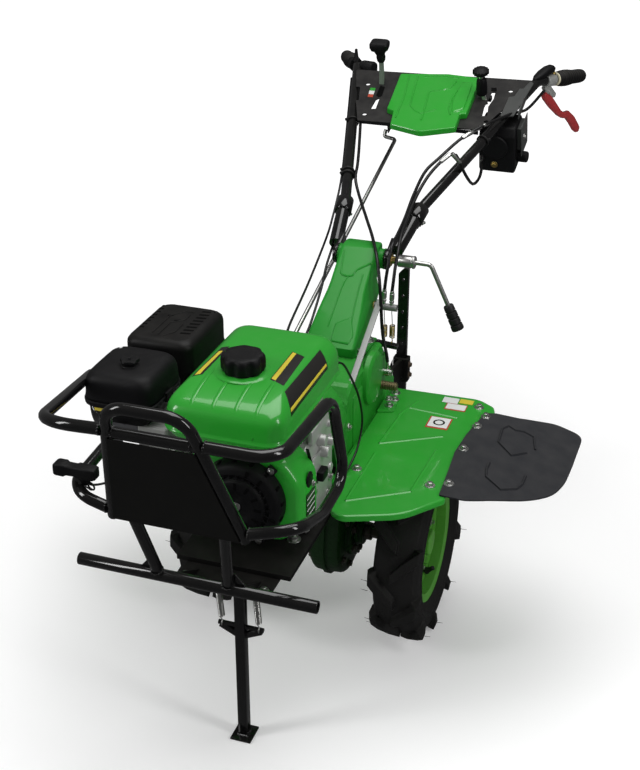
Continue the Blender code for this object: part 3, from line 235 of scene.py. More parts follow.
def finish(name, colour, roughness, metallic=0.0, specular=0.5, coat=0.0, coat_roughness=0.05,
           drift=0.12, drift_scale=8.0, spread=0.1, grain=0.0, grain_scale=500.0, rounding=0.0012,
           wear=0.25, wear_colour=(0.35, 0.35, 0.34), dust=0.06, dust_colour=(0.42, 0.4, 0.36)):
    """A surface that isn't even: its colour drifts, its gloss is smudged, its edges are rounded and worn, and
    a little dust lies on what faces up. Grain is the depth of its texture in metres."""
    material = bpy.data.materials.new(name)
    material.use_nodes = True
    nodes, links = material.node_tree.nodes, material.node_tree.links
    shader = nodes["Principled BSDF"]
    preset(shader, {"Metallic": metallic, "Specular IOR Level": specular, "Coat Weight": coat,
                    "Coat Roughness": coat_roughness})

    def placed(group, **values):
        node = nodes.new("ShaderNodeGroup")
        node.node_tree = group
        preset(node, values)
        return node.outputs[0]

    shade = placed(uneven_colour, Colour=(*colour, 1), Amount=drift, Scale=drift_scale)
    for mask, layer_colour in ((placed(worn_edges, Width=rounding, Amount=wear), wear_colour),
                               (placed(settled_dust, Amount=dust), dust_colour)):
        over = nodes.new("ShaderNodeMix")
        over.data_type = "RGBA"
        preset(over, {"B": (*layer_colour, 1)})
        links.new(mask, over.inputs["Factor"])
        links.new(shade, over.inputs["A"])
        shade = over.outputs["Result"]
    links.new(shade, shader.inputs["Base Color"])
    links.new(placed(smudges, Roughness=roughness, Spread=spread), shader.inputs["Roughness"])
    corners = nodes.new("ShaderNodeBevel")
    corners.samples = 4
    preset(corners, {"Radius": rounding})
    surface = corners.outputs["Normal"]
    if grain:
        relief = nodes.new("ShaderNodeBump")
        preset(relief, {"Distance": grain})
        links.new(object_noise(material.node_tree, grain_scale, 3.0), relief.inputs["Height"])
        links.new(surface, relief.inputs["Normal"])
        surface = relief.outputs["Normal"]
    links.new(surface, shader.inputs["Normal"])
    return material


def dress(material, *names):
    """Gives CAD nodes their finish."""
    for name in names:
        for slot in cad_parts[name].material_slots:
            slot.material = material


def made(bm, name, material, replaces=(), body="chassis", slot=None, crease=35, subdivide=0):
    """Turns a mesh in hand into a finished piece that rides on a body, or on none if it bends."""
    bmesh.ops.remove_doubles(bm, verts=bm.verts, dist=1e-6)
    bmesh.ops.recalc_face_normals(bm, faces=bm.faces)
    mesh = bpy.data.meshes.new(name)
    bm.to_mesh(mesh)
    bm.free()
    mesh.materials.append(material)
    mesh.shade_smooth()
    if crease:
        mesh.set_sharp_from_angle(angle=radians(crease))
    obj = bpy.data.objects.new(name, mesh)
    scene.collection.objects.link(obj)
    if subdivide:
        rounder = obj.modifiers.new("rounder", "SUBSURF")
        rounder.levels = subdivide
        rounder.render_levels = subdivide
    if body:
        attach(obj, body)
    if replaces:
        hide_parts(*replaces)
    return obj


def towards(direction):
    """The turn that takes up to a direction."""
    return Vector((0, 0, 1)).rotation_difference(Vector(direction)).to_matrix().to_4x4()


def spun(bm, profile, place, direction, steps=24):
    """Turns a profile of (along, radius) points about a line through a place. One that starts and
    ends on the line, or that closes on itself, makes a closed solid."""
    turn = Matrix.Translation(place) @ towards(direction)
    ring = [bm.verts.new(turn @ Vector((radius, 0, along))) for along, radius in profile]
    chain = [bm.edges.new(pair) for pair in zip(ring, ring[1:])]
    if profile[0][1] > 1e-6:
        chain.append(bm.edges.new((ring[-1], ring[0])))
    bmesh.ops.spin(bm, geom=ring + chain, cent=place, axis=Vector(direction).normalized(),
                   angle=2 * pi, steps=steps, use_merge=True)
    bmesh.ops.remove_doubles(bm, verts=bm.verts, dist=1e-6)


def cone(bm, middle, direction, foot_r, tip_r, depth, sides):
    """A short round or sided peg about its middle."""
    return bmesh.ops.create_cone(bm, cap_ends=True, segments=sides, radius1=foot_r, radius2=tip_r,
                                 depth=depth, matrix=Matrix.Translation(middle) @ towards(direction))


def spaced(count, start=0.0):
    """Angles spaced evenly all round, from a start in degrees."""
    return [radians(start) + 2 * pi * k / count for k in range(count)]


TYRE_R = 0.208
CARCASS_R = 0.1935
LUGS = 10
LUG_WIDTH = 0.038
LUG_DEPTH = 0.0165
SIDES = (("left", 1), ("right", -1))

tyre_rubber = finish("tyre_rubber", (0.0105, 0.0105, 0.01), 0.64, specular=0.25,
                     drift=0.5, drift_scale=30, spread=0.25, grain=0.0006, grain_scale=260,
                     wear_colour=(0.03, 0.03, 0.029), dust=0.16, dust_colour=(0.07, 0.065, 0.058),
                     rounding=0.003)

# across from the wheel's middle, radius
carcass = [
    (-0.03, 0.124), (-0.037, 0.1262), (-0.04, 0.13), (-0.0445, 0.14), (-0.047, 0.142),
    (-0.0482, 0.16), (-0.0465, 0.176), (-0.04, 0.1875), (-0.02, 0.193), (0, CARCASS_R),
]
carcass += [(-x, radius) for x, radius in reversed(carcass[:-1])]
# a lug's run from near the middle out over the shoulder: across, top, how far round, width
lug_run = [
    (-0.004, TYRE_R - 0.001, 0.0, 0.8),
    (0.016, TYRE_R - 0.0005, 0.1, 1.0),
    (0.037, TYRE_R - 0.0015, 0.195, 1.0),
    (0.0505, 0.203, 0.255, 0.95),
    (0.0548, 0.188, 0.285, 0.85),
    (0.053, 0.168, 0.29, 0.5),
]

bar = bmesh.new()
bmesh.ops.create_cube(bar, size=1)
long_edges = [edge for edge in bar.edges if abs(edge.verts[0].co.x - edge.verts[1].co.x) > 0.5]
bmesh.ops.subdivide_edges(bar, edges=long_edges, cuts=len(lug_run) - 2)
straight_lug = bpy.data.meshes.new("straight_lug")
bar.to_mesh(straight_lug)
bar.free()


def on_wheel(x, radius, angle):
    """A point of a wheel at an angle forward from its top."""
    return at(x, -radius * sin(angle), TYRE_R + radius * cos(angle))


def lug(bm, middle, side, angle):
    """One cleat: a bar bent along its run over the carcass, narrower at its top than at its root."""
    older = set(bm.verts)
    bm.from_mesh(straight_lug)
    for vert in set(bm.verts) - older:
        across, top, round_by, width = lug_run[round((vert.co.x + 0.5) * (len(lug_run) - 1))]
        raised = vert.co.z > 0
        half = LUG_WIDTH / 2 * width * (0.68 if raised else 1.0)
        radius = top if raised else top - LUG_DEPTH
        inwards = 0.0 if raised else 0.014 * (across > 0.04)
        turn = angle - round_by + (half / TYRE_R) * (1 if vert.co.y > 0 else -1)
        vert.co = on_wheel(middle + side * (across - inwards), radius, turn)


def middle_x(node):
    """The middle of a node from side to side."""
    return sum(corner.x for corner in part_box(node)) / 2


for side_name, side in SIDES:
    middle = middle_x(f"tyre_{side_name}")
    bm = bmesh.new()
    spun(bm, carcass, at(middle, 0, TYRE_R), (1, 0, 0), 72)
    for half in (1, -1):
        for k in range(LUGS):
            angle = 2 * pi * (k + 0.25 * half) / LUGS
            lug(bm, middle, half, angle)
            for step in (0.1, 0.22) if half == -side else (0.22,):
                whisker = on_wheel(middle + half * 0.059, CARCASS_R, angle - step)
                cone(bm, whisker, (half, 0, 0.1), 0.0008, 0.0004, 0.015, 4)
        # the bead line and a raised ring on the sidewall
        for radius in (0.144, 0.156):
            ring = [(0.0469, radius - 0.0012), (0.0488, radius), (0.0469, radius + 0.0012)]
            spun(bm, [(half * x, r) for x, r in ring], at(middle, 0, TYRE_R), (1, 0, 0), 60)
    made(bm, f"tyre_tread_{side_name}", tyre_rubber, [f"tyre_{side_name}"], "wheels", crease=40)

# ---------------------------------------------------------------- rims and axle
# Pressed steel rims in pale green enamel, their discs welded inside and bolted to the axle's hubs,
# which have round caps. A tyre valve comes through the disc.


def bolt(bm, place, direction, across=0.01, height=0.005, washer=True, stub=0.0):
    """A hexagon head or nut on a washer, with the thread's end showing if it has a stub."""
    direction = Vector(direction).normalized()
    seat = Vector(place)
    if washer:
        cone(bm, seat + direction * 0.0006, direction, across * 0.98, across * 0.94, 0.0014, 18)
        seat = seat + direction * 0.0013
    corner_r = across / 2 * 1.155
    head = cone(bm, seat + direction * height / 2, direction, corner_r, corner_r, height, 6)
    rim_edges = [
        edge for edge in {e for v in head["verts"] for e in v.link_edges}
        if all((v.co - seat).dot(direction) > height * 0.9 for v in edge.verts)
    ]
    bmesh.ops.bevel(bm, geom=rim_edges, offset=across * 0.09, offset_type="OFFSET", affect="EDGES",
                    segments=2, profile=0.5, material=-1)
    if stub:
        cone(bm, seat + direction * (height + stub / 2), direction, across * 0.3, across * 0.27, stub, 14)


def bolts(bm, places, direction, across=0.01, height=0.005, **more):
    """The same bolt at several places."""
    for place in places:
        bolt(bm, place, direction, across, height, **more)


def peg(bm, place, direction, length, radius, steps=24, start=0.0):
    """A plain round bar with flat ends."""
    spun(bm, [(start, 0), (start, radius), (length, radius), (length, 0)], place, direction, steps)


def sleeve(bm, place, direction, length, bore, radius, steps=24, start=0.0):
    """A plain round tube with square ends."""
    spun(bm, [(start, bore), (start, radius), (length, radius), (length, bore)], place, direction, steps)


green_enamel = finish("green_enamel", (0.016, 0.315, 0.02), 0.3, specular=0.3,
                      coat=0.65, coat_roughness=0.06, drift=0.1, drift_scale=5, spread=0.08,
                      grain=0.00012, grain_scale=90, wear=0.1, wear_colour=(0.1, 0.5, 0.1),
                      dust=0.05)
zinc_steel = finish("zinc_steel", (0.62, 0.62, 0.6), 0.3, metallic=1.0, drift=0.15,
                    drift_scale=30, spread=0.25, grain=0.00006, grain_scale=700, wear=0.3,
                    wear_colour=(0.8, 0.8, 0.79), dust=0.08)
dark_rubber = finish("dark_rubber", (0.009, 0.009, 0.0095), 0.45, specular=0.25,
                     drift=0.2, grain=0.0001, grain_scale=420, wear=0.2, wear_colour=(0.05, 0.05, 0.05))
rim_enamel = finish("rim_enamel", (0.085, 0.33, 0.036), 0.38, specular=0.2, coat=0.1,
                    coat_roughness=0.1, drift=0.15, wear=0.12, wear_colour=(0.12, 0.36, 0.08), dust=0.1)
# dark brown steel for the axle, its collars and the drive case's bolts, which lie under the fenders: partly
# oil, partly the fenders' shade painted into the colour
oily_steel_painted_shade = finish("oily_steel_painted_shade", (0.055, 0.05, 0.04), 0.5, metallic=0.6, drift=0.6,
                    drift_scale=40, spread=0.3, wear=0.3, wear_colour=(0.2, 0.19, 0.17), dust=0.2,
                    dust_colour=(0.1, 0.09, 0.07))
dress(rim_enamel, "wheel_rim_left", "wheel_rim_right")
dress(oily_steel_painted_shade, "axle_shaft")

WHEEL_BOLT_R = 0.058
DISC_X = 0.2225  # the outer face of a rim's disc
for side_name, side in SIDES:
    bm = bmesh.new()
    bolts(bm, [at(side * DISC_X, WHEEL_BOLT_R * cos(angle), TYRE_R + WHEEL_BOLT_R * sin(angle))
               for angle in spaced(6, 15)], (side, 0, 0), 0.015, 0.008, stub=0.005)
    made(bm, f"wheel_bolts_{side_name}", zinc_steel, body="wheels")
    bm = bmesh.new()
    stem = [(0, 0), (0, 0.008), (0.004, 0.0078), (0.008, 0.0056), (0.018, 0.005), (0.022, 0.005),
            (0.023, 0)]
    spun(bm, stem, at(side * (DISC_X + 0.0075), 0.028, TYRE_R - 0.0935), (side * 0.75, -0.2, 0.62), 18)
    made(bm, f"tyre_valve_{side_name}", dark_rubber, body="wheels")
    bm = bmesh.new()
    cap = [(0, 0), (0, 0.0255), (0.003, 0.027), (0.0205, 0.027), (0.0225, 0.0255), (0.024, 0.018),
           (0.024, 0)]
    spun(bm, cap, at(side * (DISC_X + 0.0015), 0, TYRE_R), (side, 0, 0), 32)
    made(bm, f"hub_collar_{side_name}", rim_enamel, body="wheels")

# ---------------------------------------------------------------- engine base and bumper
# Black enamelled steel: a flat engine base, a skid plate under it, and a bent and welded tube
# bumper with a sheet plate. The tube joints carry small weld beads.

black_enamel = finish("black_enamel", (0.0026, 0.0026, 0.0029), 0.12, specular=0.5,
                      coat=0.3, coat_roughness=0.03, drift=0.2, spread=0.08, grain=0.00012,
                      grain_scale=60, wear=0.1, wear_colour=(0.06, 0.06, 0.06), dust=0.03)
satin_black = finish("satin_black", (0.0058, 0.0058, 0.0054), 0.5, specular=0.1,
                     drift=0.15, spread=0.12, grain=0.0001, grain_scale=350, wear=0.2,
                     wear_colour=(0.05, 0.05, 0.05), dust=0.03)
dress(satin_black, "bumper_plate", "engine_base", "skid_plate")

HOOP_FOOT = (0.115, 0.626)  # half width, height
HOOP_TOP = (0.064, 0.88)
CROSS_Y, CROSS_Z = -0.648, 0.485
CROSS_HALF = 0.217
LEAN = 0.365
LEGS = ((0.082, 0.059), (-0.082, -0.067))  # where each leg's top and foot stand from side to side
RAIL_R = 0.01
BAR_Z = 0.8255  # the hoop's cross bar


def on_frame(x, z, ahead=0.0):
    """A point on the bumper's leaning plane."""
    return at(x, CROSS_Y - LEAN * (z - CROSS_Z) - ahead, z)


def hoop_half(z):
    """Half the hoop's width at a height."""
    share = (z - HOOP_FOOT[1]) / (HOOP_TOP[1] - HOOP_FOOT[1])
    return HOOP_FOOT[0] + share * (HOOP_TOP[0] - HOOP_FOOT[0])


def bent_route(corners, steps=8):
    """A line of points through (place, bend radius) corners, each bend an arc."""
    route = [corners[0][0]]
    for (before, _), (place, radius), (after, _) in zip(corners, corners[1:], corners[2:]):
        back, ahead = (before - place).normalized(), (after - place).normalized()
        half = back.angle(ahead) / 2
        middle = place + (back + ahead).normalized() * radius / sin(half)
        start = place + back * radius / tan(half) - middle
        end = place + ahead * radius / tan(half) - middle
        turn = start.angle(end)
        route += [middle + Matrix.Rotation(turn * k / steps, 3, start.cross(end)) @ start
                  for k in range(steps + 1)]
    return route + [corners[-1][0]]


def tube(bm, route, radius, sides=20):
    """A round tube or rod along a line of points, closed at its ends."""
    curve = bpy.data.curves.new("route", "CURVE")
    curve.dimensions = "3D"
    curve.bevel_depth = radius
    curve.bevel_resolution = max(1, sides // 4 - 1)
    curve.use_fill_caps = True
    spline = curve.splines.new("POLY")
    spline.points.add(len(route) - 1)
    for point, place in zip(spline.points, route):
        point.co = (*place, 1)
    drawn = bpy.data.objects.new("route", curve)
    mesh = bpy.data.meshes.new_from_object(drawn)
    bm.from_mesh(mesh)
    bpy.data.objects.remove(drawn)
    bpy.data.curves.remove(curve)
    bpy.data.meshes.remove(mesh)


bm = bmesh.new()
hoop = [(on_frame(*HOOP_FOOT), 0), (on_frame(*HOOP_TOP), 0.04)]
hoop += [(Vector((-p.x, p.y, p.z)), radius) for p, radius in reversed(hoop)]
tube(bm, bent_route(hoop, 12), RAIL_R)
half = hoop_half(BAR_Z)
tube(bm, [on_frame(-half, BAR_Z), on_frame(half, BAR_Z)], RAIL_R * 0.97)
made(bm, "hoop_tubes", black_enamel, ["bumper_hoop"], crease=60)

# each side rail runs out from the hoop near its top, back along the engine and in again below
reach = 0.0126
upper_z, lower_z = 0.828, 0.643
upper, lower = on_frame(hoop_half(upper_z) + reach, upper_z), on_frame(hoop_half(lower_z) + reach, lower_z)
upper_y = upper.y - axle_y
side_rails = {
    "left": [
        (upper, 0), (at(0.2, upper_y, 0.828), 0.045), (at(0.2, -0.53, 0.81), 0.06),
        (at(0.2, -0.46, 0.622), 0.035), (at(0.2, -0.58, 0.62), 0.1),
        (at(0.2, -0.698, 0.662), 0.04), (lower, 0),
    ],
    "right": [
        (Vector((-upper.x, upper.y, upper.z)), 0), (at(-0.19, upper_y - 0.003, 0.825), 0.085),
        (at(-0.35, -0.311, 0.663), 0.045), (at(-0.345, -0.33, 0.58), 0.035),
        (at(-0.238, -0.44, 0.595), 0.05), (at(-0.196, -0.56, 0.666), 0.05),
        (at(-0.194, -0.7, 0.658), 0.05), (Vector((-lower.x, lower.y, lower.z)), 0),
    ],
}
for side_name, corners in side_rails.items():
    bm = bmesh.new()
    tube(bm, bent_route(corners, 10), RAIL_R)
    made(bm, f"rail_{side_name}", black_enamel, [f"bumper_rail_{side_name}"], crease=60)

# the cross tube is open at its ends, and the hoop's legs stand on it
bm = bmesh.new()
wall = [(-CROSS_HALF, 0.009), (-CROSS_HALF, 0.0105), (-CROSS_HALF + 0.0006, 0.011)]
wall += [(-x, radius) for x, radius in reversed(wall)]
spun(bm, wall, at(0, CROSS_Y, CROSS_Z), (1, 0, 0), 28)
for top_x, foot_x in LEGS:
    tube(bm, [at(foot_x, CROSS_Y + 0.001, CROSS_Z + 0.002), on_frame(top_x, 0.65, -0.002)], RAIL_R)
made(bm, "cross_tube_and_legs", black_enamel, ["cross_tube"], crease=50)


def bead(bm, place, radius):
    """One small rounded bead of weld metal."""
    bmesh.ops.create_icosphere(bm, subdivisions=1, radius=radius, matrix=Matrix.Translation(place))


def weld(bm, place, direction, radius, size=0.0026):
    """A welded seam round a tube where it meets another: a ring of small overlapping beads."""
    turn = Matrix.Translation(place) @ towards(direction)
    for angle in spaced(max(10, round(radius * 2 * pi / 0.0042))):
        bead(bm, turn @ Vector((radius * cos(angle), radius * sin(angle), 0)), size)


bm = bmesh.new()
for side in (1, -1):
    for z, out in ((upper_z, 0.0115), (lower_z, 0.0115), (BAR_Z, -0.0105)):
        weld(bm, on_frame(side * (hoop_half(z) + out), z), (side, 0, 0), 0.0085)
for top_x, foot_x in LEGS:
    start = at(foot_x, CROSS_Y, CROSS_Z)
    ahead = (on_frame(top_x, 0.65) - start).normalized()
    weld(bm, start + ahead * 0.012, ahead, 0.01)
made(bm, "bumper_welds", black_enamel, crease=0)


def drawn_out(bm, faces, way):
    """Gives flat faces a thickness."""
    drawn = bmesh.ops.extrude_face_region(bm, geom=faces)
    bmesh.ops.translate(bm, vec=way, verts=[v for v in drawn["geom"] if isinstance(v, bmesh.types.BMVert)])


# flat gussets at the legs' feet, with the fastening bolts of the skid plate and engine base
bm = bmesh.new()
for (_, foot_x), side in zip(LEGS, (1, -1)):
    outline = [(0.004, 0.0095), (0.034, 0.0095), (0.014, 0.034), (0.008, 0.034)]
    corners = [at(foot_x + side * dx, CROSS_Y + 0.0005 - 0.1 * dz, CROSS_Z + dz) for dx, dz in outline]
    drawn_out(bm, [bm.faces.new([bm.verts.new(corner) for corner in corners])], (0, 0.003, 0))
made(bm, "leg_gussets", black_enamel)

bm = bmesh.new()
for x in (-0.075, 0.075):
    for y in (-0.375, -0.225):
        bolt(bm, at(x, y, 0.4152), (0, 0, 1), 0.014, 0.008, stub=0.004)
        bolt(bm, at(x, y, 0.405), (0, 0, -1), 0.014, 0.007)
    bolt(bm, at(x, -0.53, 0.4052), (0, 0, 1), 0.01, 0.005)
made(bm, "base_bolts", zinc_steel)

# ---------------------------------------------------------------- fuel tank
# Two pressed steel shells, seamed all round at their joint and enamelled green, with raised ribs
# on the front and a screw cap. The labels on it are blank vinyl.


def shell(bm, rings):
    """Closed skins over rings of points, bridged one after the other and capped at both ends."""
    loops = []
    for ring in rings:
        verts = [bm.verts.new(point) for point in ring]
        loops.append([bm.edges.new(pair) for pair in zip(verts, verts[1:] + verts[:1])])
        if len(loops) > 1:
            bmesh.ops.bridge_loops(bm, edges=loops[-2] + loops[-1])
    for loop in (loops[0], loops[-1]):
        bmesh.ops.contextual_create(bm, geom=loop)


def soft_ring(x, y, z, radius, steps=4):
    """A rectangle's outline in plan with rounded corners, from (low, high) spans."""
    points = []
    for cx, cy, start in ((x[1] - radius, y[1] - radius, 0), (x[0] + radius, y[1] - radius, 90),
                          (x[0] + radius, y[0] + radius, 180), (x[1] - radius, y[0] + radius, 270)):
        for k in range(steps + 1):
            angle = radians(start + 90 * k / steps)
            points.append(at(cx + radius * cos(angle), cy + radius * sin(angle), z))
    return points


def moulding(bm, x, y, layers, steps):
    """A moulded box up through layers of (height, how far it draws in, corner radius)."""
    shell(bm, [soft_ring((x[0] + inset, x[1] - inset), (y[0] + inset, y[1] - inset), z, corner, steps)
               for z, inset, corner in layers])


TANK_X = (-0.126, 0.1)
TANK_Y = (-0.5, -0.16)
# height, inset at the sides, at the front, at the back, corner
tank_rings = [
    (0.65, 0.034, 0.04, 0.02, 0.03), (0.6525, 0.016, 0.02, 0.01, 0.036),
    (0.66, 0.006, 0.007, 0.004, 0.04), (0.67, 0.002, 0.002, 0.001, 0.04),
    (0.675, 0.0, 0.0, 0.0, 0.04), (0.6765, -0.003, -0.003, -0.002, 0.042),
    (0.6785, -0.003, -0.003, -0.002, 0.042), (0.681, 0.0005, 0.001, 0.0, 0.04),
    (0.7, 0.001, 0.003, 0.0, 0.036), (0.712, 0.003, 0.006, 0.001, 0.032),
    (0.721, 0.006, 0.012, 0.003, 0.029), (0.729, 0.011, 0.023, 0.006, 0.026),
    (0.736, 0.018, 0.042, 0.01, 0.024), (0.741, 0.025, 0.064, 0.015, 0.022),
    (0.744, 0.032, 0.088, 0.021, 0.02), (0.7452, 0.04, 0.106, 0.028, 0.018),
]
bm = bmesh.new()
shell(bm, [soft_ring((TANK_X[0] + side, TANK_X[1] - side), (TANK_Y[0] + front, TANK_Y[1] - back),
                     z, corner, 6) for z, side, front, back, corner in tank_rings])
tank = made(bm, "tank_shells", green_enamel, ["fuel_tank"], crease=50, subdivide=1)


def surface_of(obj):
    """A search tree of a finished piece's surface."""
    mesh = bpy.data.meshes.new_from_object(
        obj.evaluated_get(bpy.context.evaluated_depsgraph_get()), preserve_all_data_layers=False)
    tree = BVHTree.FromPolygons([v.co for v in mesh.vertices], [p.vertices for p in mesh.polygons])
    bpy.data.meshes.remove(mesh)
    return tree


tank_surface = surface_of(tank)


def dropped(surface, x, y, lift=0.0):
    """A point laid on a surface from above and lifted off it."""
    place, normal, _, _ = surface.ray_cast(Vector((x, axle_y + y, 1.2)), Vector((0, 0, -1)))
    return place + normal * lift


# four raised ribs run from the top down over the front
bm = bmesh.new()
for x in (-0.072, -0.032, 0.01, 0.048):
    rings = []
    for k in range(15):
        high = 0.0012 * (1 - max(0, k - 9) / 6)
        rings.append([dropped(tank_surface, x + across, -0.4995 + 0.0095 * k, lift) for across, lift in
                      ((-0.0065, -0.0012), (-0.0028, high), (0.0028, high), (0.0065, -0.0012))])
    shell(bm, rings)
made(bm, "tank_ribs", green_enamel, crease=0, subdivide=1)


def lobed(bm, middle, radius, count, depth, layers, steps, sharpness=1, phase=0.0):
    """A knob with finger dips: layers of (height, share of the radius, share of the dips' depth)."""
    rings = []
    for up, share, dips in layers:
        ring = []
        for angle in spaced(steps):
            dip = depth * dips * (0.5 + 0.5 * cos(count * angle + phase)) ** sharpness
            reach = radius * share * (1 - dip)
            ring.append(middle + Vector((reach * cos(angle), reach * sin(angle), up)))
        rings.append(ring)
    shell(bm, rings)


# the filler neck's raised ring and the cap with its eight finger dips
textured_plastic = finish("textured_plastic", (0.0042, 0.0042, 0.005), 0.46,
                          specular=0.16, drift=0.2, drift_scale=25, spread=0.15, grain=0.0004,
                          grain_scale=900, wear=0.3, wear_colour=(0.03, 0.03, 0.032), dust=0.02)
NECK_Z = 0.744
low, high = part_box("fuel_cap")
cap_foot = Vector(((low.x + high.x) / 2, (low.y + high.y) / 2, low.z))
cap_r = (high.x - low.x) / 2
bm = bmesh.new()
spun(bm, [(0, 0), (0, cap_r + 0.012), (0.0022, cap_r + 0.009), (0.0035, cap_r - 0.004), (0.0035, 0)],
     (cap_foot.x, cap_foot.y, NECK_Z), (0, 0, 1), 48)
made(bm, "filler_ring", green_enamel)
bm = bmesh.new()
lobed(bm, cap_foot, cap_r, 8, 0.13, [
    (0.00062, 0.9, 0.2), (0.00465, 0.93, 0.5), (0.00775, 0.99, 1.0), (0.0217, 1.0, 1.0),
    (0.0279, 0.975, 0.9), (0.031775, 0.92, 0.6), (0.033325, 0.83, 0.2), (0.03379, 0.6, 0.0),
    (0.03317, 0.3, 0.0),
], 90, 2, 0.6)
made(bm, "tank_cap", textured_plastic, ["fuel_cap"], crease=50)

# blank vinyl labels: each is a thin sheet that lies on its panel
yellow_vinyl = finish("yellow_vinyl", (0.62, 0.5, 0.03), 0.35, drift=0.06, wear=0.0)
black_vinyl = finish("black_vinyl", (0.012, 0.011, 0.01), 0.35, drift=0.2, wear=0.0,
                     dust=0.02)
white_vinyl = finish("white_vinyl", (0.7, 0.71, 0.7), 0.4, drift=0.05, wear=0.0)
red_vinyl = finish("red_vinyl", (0.42, 0.05, 0.02), 0.4, drift=0.05, wear=0.0)


def sheet(bm, corners, thickness):
    """A flat sheet over its corners, which run anticlockwise as seen from its face."""
    face = bm.faces.new([bm.verts.new(corner) for corner in corners])
    face.normal_update()
    drawn_out(bm, [face], face.normal * thickness)


def label(name, corners, material, proud=0.0003, **more):
    """A flat label as a piece of its own."""
    bm = bmesh.new()
    sheet(bm, corners, proud)
    made(bm, name, material, **more)


def laid_label(name, surface, corners, material, lift, cuts=8):
    """A thin label dropped onto a curved panel, its corners given in plan."""
    bm = bmesh.new()
    bmesh.ops.create_grid(bm, x_segments=cuts, y_segments=cuts, size=0.5)
    a, b, c, d = (Vector(corner) for corner in corners)
    for vert in bm.verts:
        u, v = vert.co.x + 0.5, vert.co.y + 0.5
        spot = (a * (1 - u) + b * u) * (1 - v) + (d * (1 - u) + c * u) * v
        vert.co = dropped(surface, spot.x, spot.y, lift)
    drawn_out(bm, bm.faces[:], (0, 0, -0.0007))
    made(bm, name, material)


for dark_name, bright_name, dark_corners, bright_corners in (
    ("tank_label_left", "tank_label_left_band",
     [(0.037, -0.384), (0.067, -0.397), (0.063, -0.279), (0.036, -0.267)],
     [(0.0385, -0.381), (0.0475, -0.385), (0.0455, -0.2735), (0.0378, -0.27)]),
    ("tank_label_right", "tank_label_right_band",
     [(-0.099, -0.412), (-0.083, -0.403), (-0.081, -0.284), (-0.094, -0.29)],
     [(-0.0955, -0.408), (-0.087, -0.403), (-0.085, -0.305), (-0.0915, -0.308)]),
    ("tank_shoulder_label", "tank_shoulder_stripe",
     [(0.0745, -0.412), (0.0965, -0.44), (0.0965, -0.246), (0.0765, -0.232)],
     [(0.0925, -0.434), (0.0948, -0.437), (0.0948, -0.25), (0.093, -0.248)]),
):
    laid_label(dark_name, tank_surface, dark_corners, black_vinyl, 0.0005)
    laid_label(bright_name, tank_surface, bright_corners, yellow_vinyl, 0.0009)

# ---------------------------------------------------------------- air cleaner
# A moulded black plastic cover on a deep plastic body, held down by a small star knob. Its
# corners are generously rounded and its top is crowned.

CLEANER_X = (-0.306, -0.166)
CLEANER_Y = (-0.45, -0.3)


def block(bm, middle, size, rounding=0.0):
    """A block along X, Y and Z with its edges rounded."""
    slab(bm, middle, (1, 0, 0), (0, 1, 0), size, rounding)


def slab(bm, middle, along, across, size, rounding=0.0):
    """A block with its length, width and height along its own axes, with its edges rounded."""
    along, across = Vector(along).normalized(), Vector(across).normalized()
    axes = Matrix((along, across, along.cross(across))).transposed().to_4x4()
    new = bmesh.ops.create_cube(bm, size=1, matrix=Matrix.Translation(middle) @ axes
                                @ Matrix.Diagonal((*size, 1)))
    if rounding:
        edges = list({edge for vert in new["verts"] for edge in vert.link_edges})
        bmesh.ops.bevel(bm, geom=edges, offset=rounding, offset_type="OFFSET", affect="EDGES",
                        segments=2, profile=0.5, material=-1)


bm = bmesh.new()
moulding(bm, CLEANER_X, CLEANER_Y, [
    (0.68, 0.01, 0.03), (0.6805, 0.0, 0.032), (0.683, -0.001, 0.032), (0.686, 0.0005, 0.032),
    (0.706, 0.001, 0.03), (0.717, 0.003, 0.029), (0.724, 0.0065, 0.028), (0.729, 0.012, 0.026),
    (0.732, 0.02, 0.024), (0.7335, 0.032, 0.02), (0.7342, 0.05, 0.012),
], 5)
made(bm, "cleaner_lid", textured_plastic, ["air_cleaner_cover"], crease=0, subdivide=1)
bm = bmesh.new()
moulding(bm, CLEANER_X, CLEANER_Y, [
    (0.63, 0.03, 0.018), (0.631, 0.022, 0.02), (0.635, 0.018, 0.022), (0.66, 0.011, 0.026),
    (0.669, 0.009, 0.028), (0.67, -0.001, 0.032), (0.678, -0.002, 0.033), (0.6797, 0.0, 0.032),
], 5)
for x in (CLEANER_X[0] - 0.002, CLEANER_X[1] + 0.002):
    block(bm, at(x, -0.375, 0.676), (0.006, 0.026, 0.018))
made(bm, "cleaner_body", textured_plastic, ["air_cleaner_base"])
bm = bmesh.new()
knob = at(-0.23, -0.392, 0.7335)
spun(bm, [(0, 0), (0, 0.0165), (0.002, 0.015), (0.003, 0.0105), (0.006, 0.0085), (0.006, 0)],
     knob, (0, 0, 1), 28)
lobed(bm, knob, 0.0185, 5, 0.2, [(0.0055, 0.8, 0.6), (0.0065, 0.98, 1), (0.0105, 1.0, 1), (0.0125, 0.92, 0.8),
                                  (0.0132, 0.7, 0.2), (0.0122, 0.42, 0)], 50)
bolt(bm, knob + Vector((0, 0, 0.012)), (0, 0, 1), 0.006, 0.003, washer=False)
made(bm, "cleaner_knob", textured_plastic)
label("cleaner_label_band", [at(x, -0.4425, z) for x, z in (
    (-0.28, 0.659), (-0.208, 0.659), (-0.208, 0.665), (-0.28, 0.665))], yellow_vinyl, 0.0012)
label("cleaner_dot", [at(-0.283, -0.33, 0.73), at(-0.278, -0.33, 0.731),
                      at(-0.278, -0.324, 0.731), at(-0.283, -0.324, 0.73)], white_vinyl, 0.0012)

# ---------------------------------------------------------------- muffler and guard
# A welded steel muffler under a pressed guard in heatproof black. The guard's top has a row of
# cooling slots down each side and a pressed relief between them.

